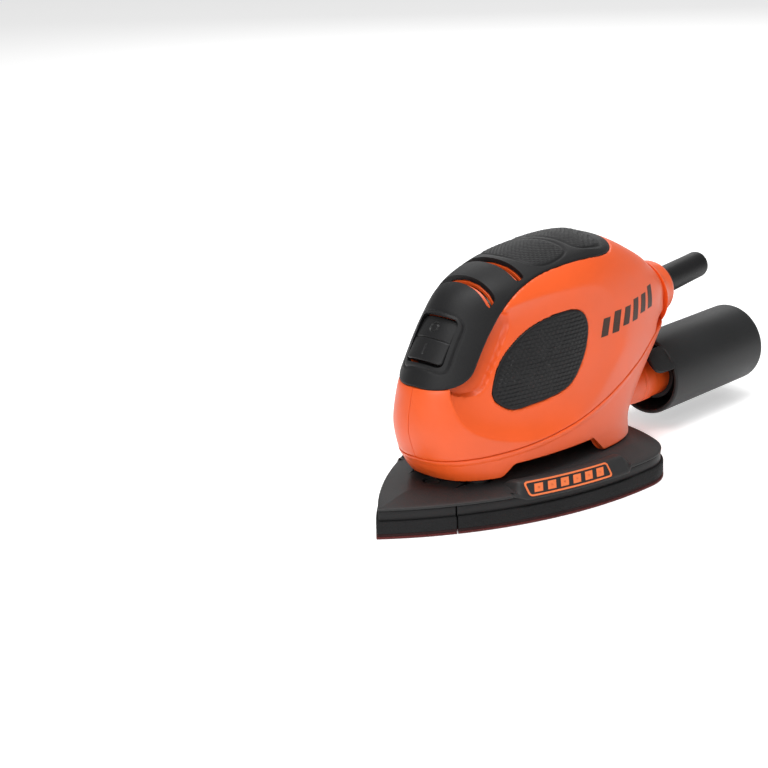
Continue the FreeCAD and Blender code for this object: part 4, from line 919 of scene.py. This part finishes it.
for name, side in FACING.items():
    lay = lay_on_side(side)
    for index in range(6):
        bar = slanted(37.0 + 7.2 * index, 65.0 + 0.75 * index, 2.2, 3.6 + 0.7 * (index % 2), 1.3)
        verts, faces = patch(bar, lay, 0.3, edge=0.06, proud=0.07, fine=0.8, back_rings=3)
        add_piece("side_bar_%s_%d" % (name, index + 1), verts, faces, "badge", "housing",
                  finish="print_ink")

# ---- base

BASE_FRONT, BASE_REAR, BASE_HALF, BASE_WIDEST, BASE_CORNER = 70.0, 70.0, 47.5, 42.0, 22.0


def base_outline(inset, count=360):
    """The base's plan: two long arcs meet in the tip, and the rear is rounded."""
    front, back = BASE_WIDEST + BASE_FRONT, BASE_REAR - BASE_WIDEST
    side = (front ** 2 + BASE_HALF ** 2) / (2 * BASE_HALF)
    rear = ((2 * BASE_HALF * BASE_CORNER - back ** 2 - BASE_HALF ** 2) / (2 * (BASE_CORNER - back)))
    rear_x = BASE_REAR - rear
    corner_turn = math.atan2(BASE_HALF - BASE_CORNER, BASE_WIDEST - rear_x)
    tip_turn = math.acos((side - BASE_HALF) / (side - inset))
    quarter = math.pi / 2
    arcs = [((BASE_WIDEST, side - BASE_HALF), side - inset, -quarter - tip_turn, -quarter, 0.36),
            ((BASE_WIDEST, BASE_CORNER - BASE_HALF), BASE_CORNER - inset, -quarter, -corner_turn, 0.08),
            ((rear_x, 0.0), rear - inset, -corner_turn, corner_turn, 0.12),
            ((BASE_WIDEST, BASE_HALF - BASE_CORNER), BASE_CORNER - inset, corner_turn, quarter, 0.08),
            ((BASE_WIDEST, BASE_HALF - side), side - inset, quarter, quarter + tip_turn, 0.36)]
    points = []
    for (cx, cy), radius, start, end, part in arcs:
        for a in np.linspace(start, end, int(count * part), endpoint=False):
            points.append((cx + radius * math.cos(a), cy + radius * math.sin(a)))
    return np.array(points)


# (inset, height) from the cover's underside, up its edge and over its slope
COVER_PROFILE = [(10.0, 11.02), (1.6, 11.02), (1.15, 11.1), (0.95, 11.3), (0.9, 11.7), (1.05, 12.0),
                 (1.4, 12.2), (2.2, 12.45), (4.0, 12.9), (6.0, 13.45), (8.0, 14.0), (10.0, 14.5),
                 (11.4, 14.85), (12.4, 15.0), (13.5, 15.05)]

rings = []
for inset, z in COVER_PROFILE:
    ring = base_outline(inset)
    rings.append(np.c_[ring, np.full(len(ring), z)])
count = len(rings[0])
verts = np.vstack(rings)
faces = []
for i in range(len(rings) - 1):
    faces += bridge(range(i * count, (i + 1) * count), range((i + 1) * count, (i + 2) * count))
faces.append(tuple(range(count)))
faces.append(tuple(range((len(rings) - 1) * count, len(rings) * count)))
cover = add_piece("base_cover_skin", verts, faces, "base_plastic", "base", ("base_cover",),
                  sharp=24)
notches = [upright([(-38.5, side * 12.6), (-25, side * 15.4), (-25, side * 10.2)], 12.6, 17)
           for side in (-1, 1)]
LEG_PLACES = [(-26.0, -13.0), (-26.0, 13.0), (46.0, -15.0), (46.0, 15.0)]
carve(cover, [upright(round_outline(6.0, (x + ECCENTRIC, y)), 12.2, 20) for x, y in LEG_PLACES]
      + [upright(round_outline(11.05, (MOTOR_X + ECCENTRIC, 0), 80), 10, 20)])
carve(cover, [upright(round_outline(3.9, (-38, 0)), 12.6, 18)])
carve(cover, notches)
verts, faces = revolve(eased([(11.0, 12.0), (14.5, 12.0), (14.5, 18.0), (11.0, 18.0)], 0.4),
                       (MOTOR_X + ECCENTRIC, 0, 0), (0, 0, 1))
add_piece("bearing_collar", verts, faces, "base_plastic", "base")


def side_place(inset, x, side):
    """A place on the base's side outline, drawn in by the inset."""
    front = BASE_WIDEST + BASE_FRONT
    arc = (front ** 2 + BASE_HALF ** 2) / (2 * BASE_HALF)
    ahead = x < BASE_WIDEST
    radius = arc if ahead else BASE_CORNER
    centre = arc - BASE_HALF if ahead else BASE_CORNER - BASE_HALF
    return side * -(centre - math.sqrt((radius - inset) ** 2 - (x - BASE_WIDEST) ** 2))


BADGE_X = -0.6
SHOULDER = [(8.6, 12.0), (0.9, 11.4), (0.75, 10.2), (0.35, 9.7), (0.02, 9.9), (0.0, 10.3),
            (0.35, 11.2), (1.88, 13.6), (3.02, 15.4), (3.5, 16.0), (4.3, 16.4), (6.6, 16.5),
            (7.8, 16.2), (8.6, 15.6)]
for name, side in FACING.items():
    stations = np.r_[np.linspace(-24.5, -20.0, 14), np.linspace(-19.4, 26.4, 46),
                     np.linspace(26.9, 30.6, 12)]
    loops, verts = [], []
    for x in stations:
        swell = min(smooth_step(x, -25.0, -20.6), 1 - smooth_step(x, 26.8, 31.0))
        loops.append(range(len(verts), len(verts) + len(SHOULDER)))
        for inset, z in SHOULDER:
            low_front = 1.6 * (1 - smooth_step(x, -24.5, -20.0)) + 1.4 * smooth_step(x, 27.5, 30.6)
            raised = 12.0 + (z - 12.0) * (0.12 + 0.88 * swell)
            height = raised if z > 12 else z + low_front * (z < 11.5)
            drawn = inset + 0.9 * (1 - swell)
            shift = (z - 12.0) * 0.35 * (1 - swell)
            verts.append((x + shift, side_place(drawn, x, side), height))
    faces = []
    for a, b in zip(loops, loops[1:]):
        faces += bridge(a, b)
    faces += [tuple(loops[0]), tuple(loops[-1])]
    add_piece("cover_shoulder_" + name, verts, faces, "base_plastic", "base", sharp=40)


def lay_on_shoulder(side):
    slope = (3.5 - 0.35) / (16.15 - 11.2)

    def lay(flat):
        points, normals = [], []
        for x, up in flat:
            z = 11.2 + up * math.cos(math.atan(slope))
            inset = 0.35 + (z - 11.2) * slope
            here = np.array([x, side_place(inset, x, side), z])
            ahead = np.array([x + 0.5, side_place(inset, x + 0.5, side), z])
            higher = np.array([x, side_place(inset + slope, x, side), z + 1.0])
            n = np.cross(ahead - here, higher - here)
            n *= np.sign(n[1]) * side
            points.append(here)
            normals.append(n / np.linalg.norm(n))
        return np.array(points), np.array(normals)
    return lay


for name, side in FACING.items():
    lay = lay_on_shoulder(side)
    plate = rounded_box(19.0, 3.1, 1.5, 240, (BADGE_X, 2.75))
    verts, faces = patch(plate, lay, 0.7, edge=0.15, proud=0.06, fine=1.2, back_rings=3)
    add_piece("badge_plate_" + name, verts, faces, "base_plastic", "base", ("badge_inlays",))
    outer_loop, inner_loop = plate, rounded_box(18.3, 2.4, 0.9, 240, (BADGE_X, 2.75))
    start = int(np.argmin(np.linalg.norm(inner_loop - outer_loop[0], axis=1)))
    loops, verts = [], []
    for loop, lift in ((outer_loop, -0.1), (outer_loop, 0.26), (inner_loop, 0.26),
                       (inner_loop, -0.1)):
        points, normals = lay(loop)
        loops.append(range(len(verts), len(verts) + len(loop)))
        verts.extend(points + lift * normals)
    faces = []
    for a, b in zip(loops, loops[1:] + loops[:1]):
        faces += bridge(a, b)
    add_piece("badge_frame_" + name, verts, faces, "badge", "base")
    for index in range(6):
        mark = slanted(BADGE_X - 14.0 + 5.6 * index, 2.75, 1.75, 1.65, 0.7, 48)
        verts, faces = patch(mark, lay, 0.2, edge=0.05, proud=0.22, fine=0.8, back_rings=3)
        add_piece("badge_mark_%s_%d" % (name, index + 1), verts, faces, "badge", "base")

# layers under the cover: band, foam, hook layer and abrasive sheet, each in a main part and a tip

TIP_BACK, SPLIT_X, SPLIT_HALF = -27.0, -47.0, 21.5


def layer_outlines(inset, gap):
    """The plan of a layer's main part and of its tip, parted by a wedge that points rearwards."""
    loop = base_outline(inset, 720)
    slope = SPLIT_HALF / (TIP_BACK - SPLIT_X)
    ahead = loop[:, 0] + np.abs(loop[:, 1]) / slope < TIP_BACK
    body_part = loop[~ahead]
    tip_part = loop[ahead]
    order = np.argsort(np.arctan2(tip_part[:, 1], -(tip_part[:, 0] + 40)))
    tip_part = tip_part[order]
    main = np.vstack([body_part, [(TIP_BACK + gap, 0.0)]])
    tip = np.vstack([tip_part, [(TIP_BACK, 0.0)]])
    return main, tip


# name, bottom, top, inset, gap, slot, finish, main node, tip node, edge
LAYERS = [("band", 7.0, 10.98, 1.2, 0.35, "base_plastic", "band_plastic", "base_plate",
           "tip_plate", 0.35),
          ("foam", 2.0, 6.98, 0.05, 0.4, "foam", "foam", "foam_pad", "foam_tip", 0.5),
          ("hook_layer", 0.95, 1.98, 0.35, 0.4, "hooks", "hooks", "hook_sheet", "hook_tip", 0.15),
          ("abrasive", 0.0, 0.93, 0.0, 0.5, "abrasive", "abrasive", "sanding_sheet",
           "sanding_tip", 0.2)]
for name, bottom, top, inset, gap, slot_name, finish, main_node, tip_node, bevel in LAYERS:
    main, tip = layer_outlines(inset, gap)
    slab(name + "_main", main, bottom, top, slot_name, "base", (main_node,), finish, bevel)
    slab(name + "_tip", tip, bottom, top, slot_name, "base", (tip_node,), finish, bevel)

# ---- floor, light, camera

floor_mesh = bpy.data.meshes.new("floor")
floor_mesh.from_pydata([(-4, -4, -0.0001), (4, -4, -0.0001), (4, 4, -0.0001), (-4, 4, -0.0001)], [],
                       [(0, 1, 2, 3)])
floor_mat = bpy.data.materials.new("floor")
floor_mat.use_nodes = True
floor_shader = floor_mat.node_tree.nodes["Principled BSDF"]
floor_shader.inputs["Base Color"].default_value = (0.9, 0.9, 0.9, 1)
floor_shader.inputs["Roughness"].default_value = 0.9
floor_shader.inputs["Emission Color"].default_value = (1, 1, 1, 1)
floor_shader.inputs["Emission Strength"].default_value = 0.42
floor_mesh.materials.append(floor_mat)
floor = bpy.data.objects.new("floor", floor_mesh)
bpy.context.collection.objects.link(floor)

world = bpy.data.worlds.new("studio")
world.use_nodes = True
world.node_tree.nodes["Background"].inputs["Color"].default_value = (1, 1, 1, 1)
world.node_tree.nodes["Background"].inputs["Strength"].default_value = 0.32
bpy.context.scene.world = world
bpy.context.scene.view_settings.view_transform = "Standard"


def lamp(name, place, target, size, power):
    data = bpy.data.lights.new(name, "AREA")
    data.shape = "RECTANGLE"
    data.size, data.size_y = size
    data.energy = power
    item = bpy.data.objects.new(name, data)
    item.location = place
    item.rotation_mode = "QUATERNION"
    item.rotation_quaternion = (Vector(target) - Vector(place)).to_track_quat("-Z", "Y")
    bpy.context.collection.objects.link(item)


lamp("overhead", (-0.05, -0.1, 1.1), (0.03, 0, 0.05), (0.6, 0.6), 10.0)
lamp("front_key", (-0.95, -0.45, 0.62), (0.0, 0, 0.05), (0.4, 0.4), 4.6)
lamp("rear_fill", (0.9, 0.7, 0.6), (0.05, 0, 0.05), (0.8, 0.6), 3.0)

AZIMUTH, ELEVATION, ROLL = math.radians(-45.0), math.radians(18.3), math.radians(-2.1)
CAMERA_AT, LENS = (-0.55865, -0.49585, 0.29321), 91.73
back = Vector((math.sin(AZIMUTH) * math.cos(ELEVATION), -math.cos(AZIMUTH) * math.cos(ELEVATION),
               math.sin(ELEVATION)))
right = Vector((math.cos(AZIMUTH), math.sin(AZIMUTH), 0))
above = back.cross(right)
right_rolled = math.cos(ROLL) * right + math.sin(ROLL) * above
above_rolled = -math.sin(ROLL) * right + math.cos(ROLL) * above
camera_data = bpy.data.cameras.new("camera")
camera_data.sensor_width = 36.0
camera_data.lens = LENS
camera = bpy.data.objects.new("camera", camera_data)
turn = Matrix((right_rolled, above_rolled, back)).transposed().to_4x4()
camera.matrix_world = Matrix.Translation(CAMERA_AT) @ turn
bpy.context.collection.objects.link(camera)
bpy.context.scene.camera = camera
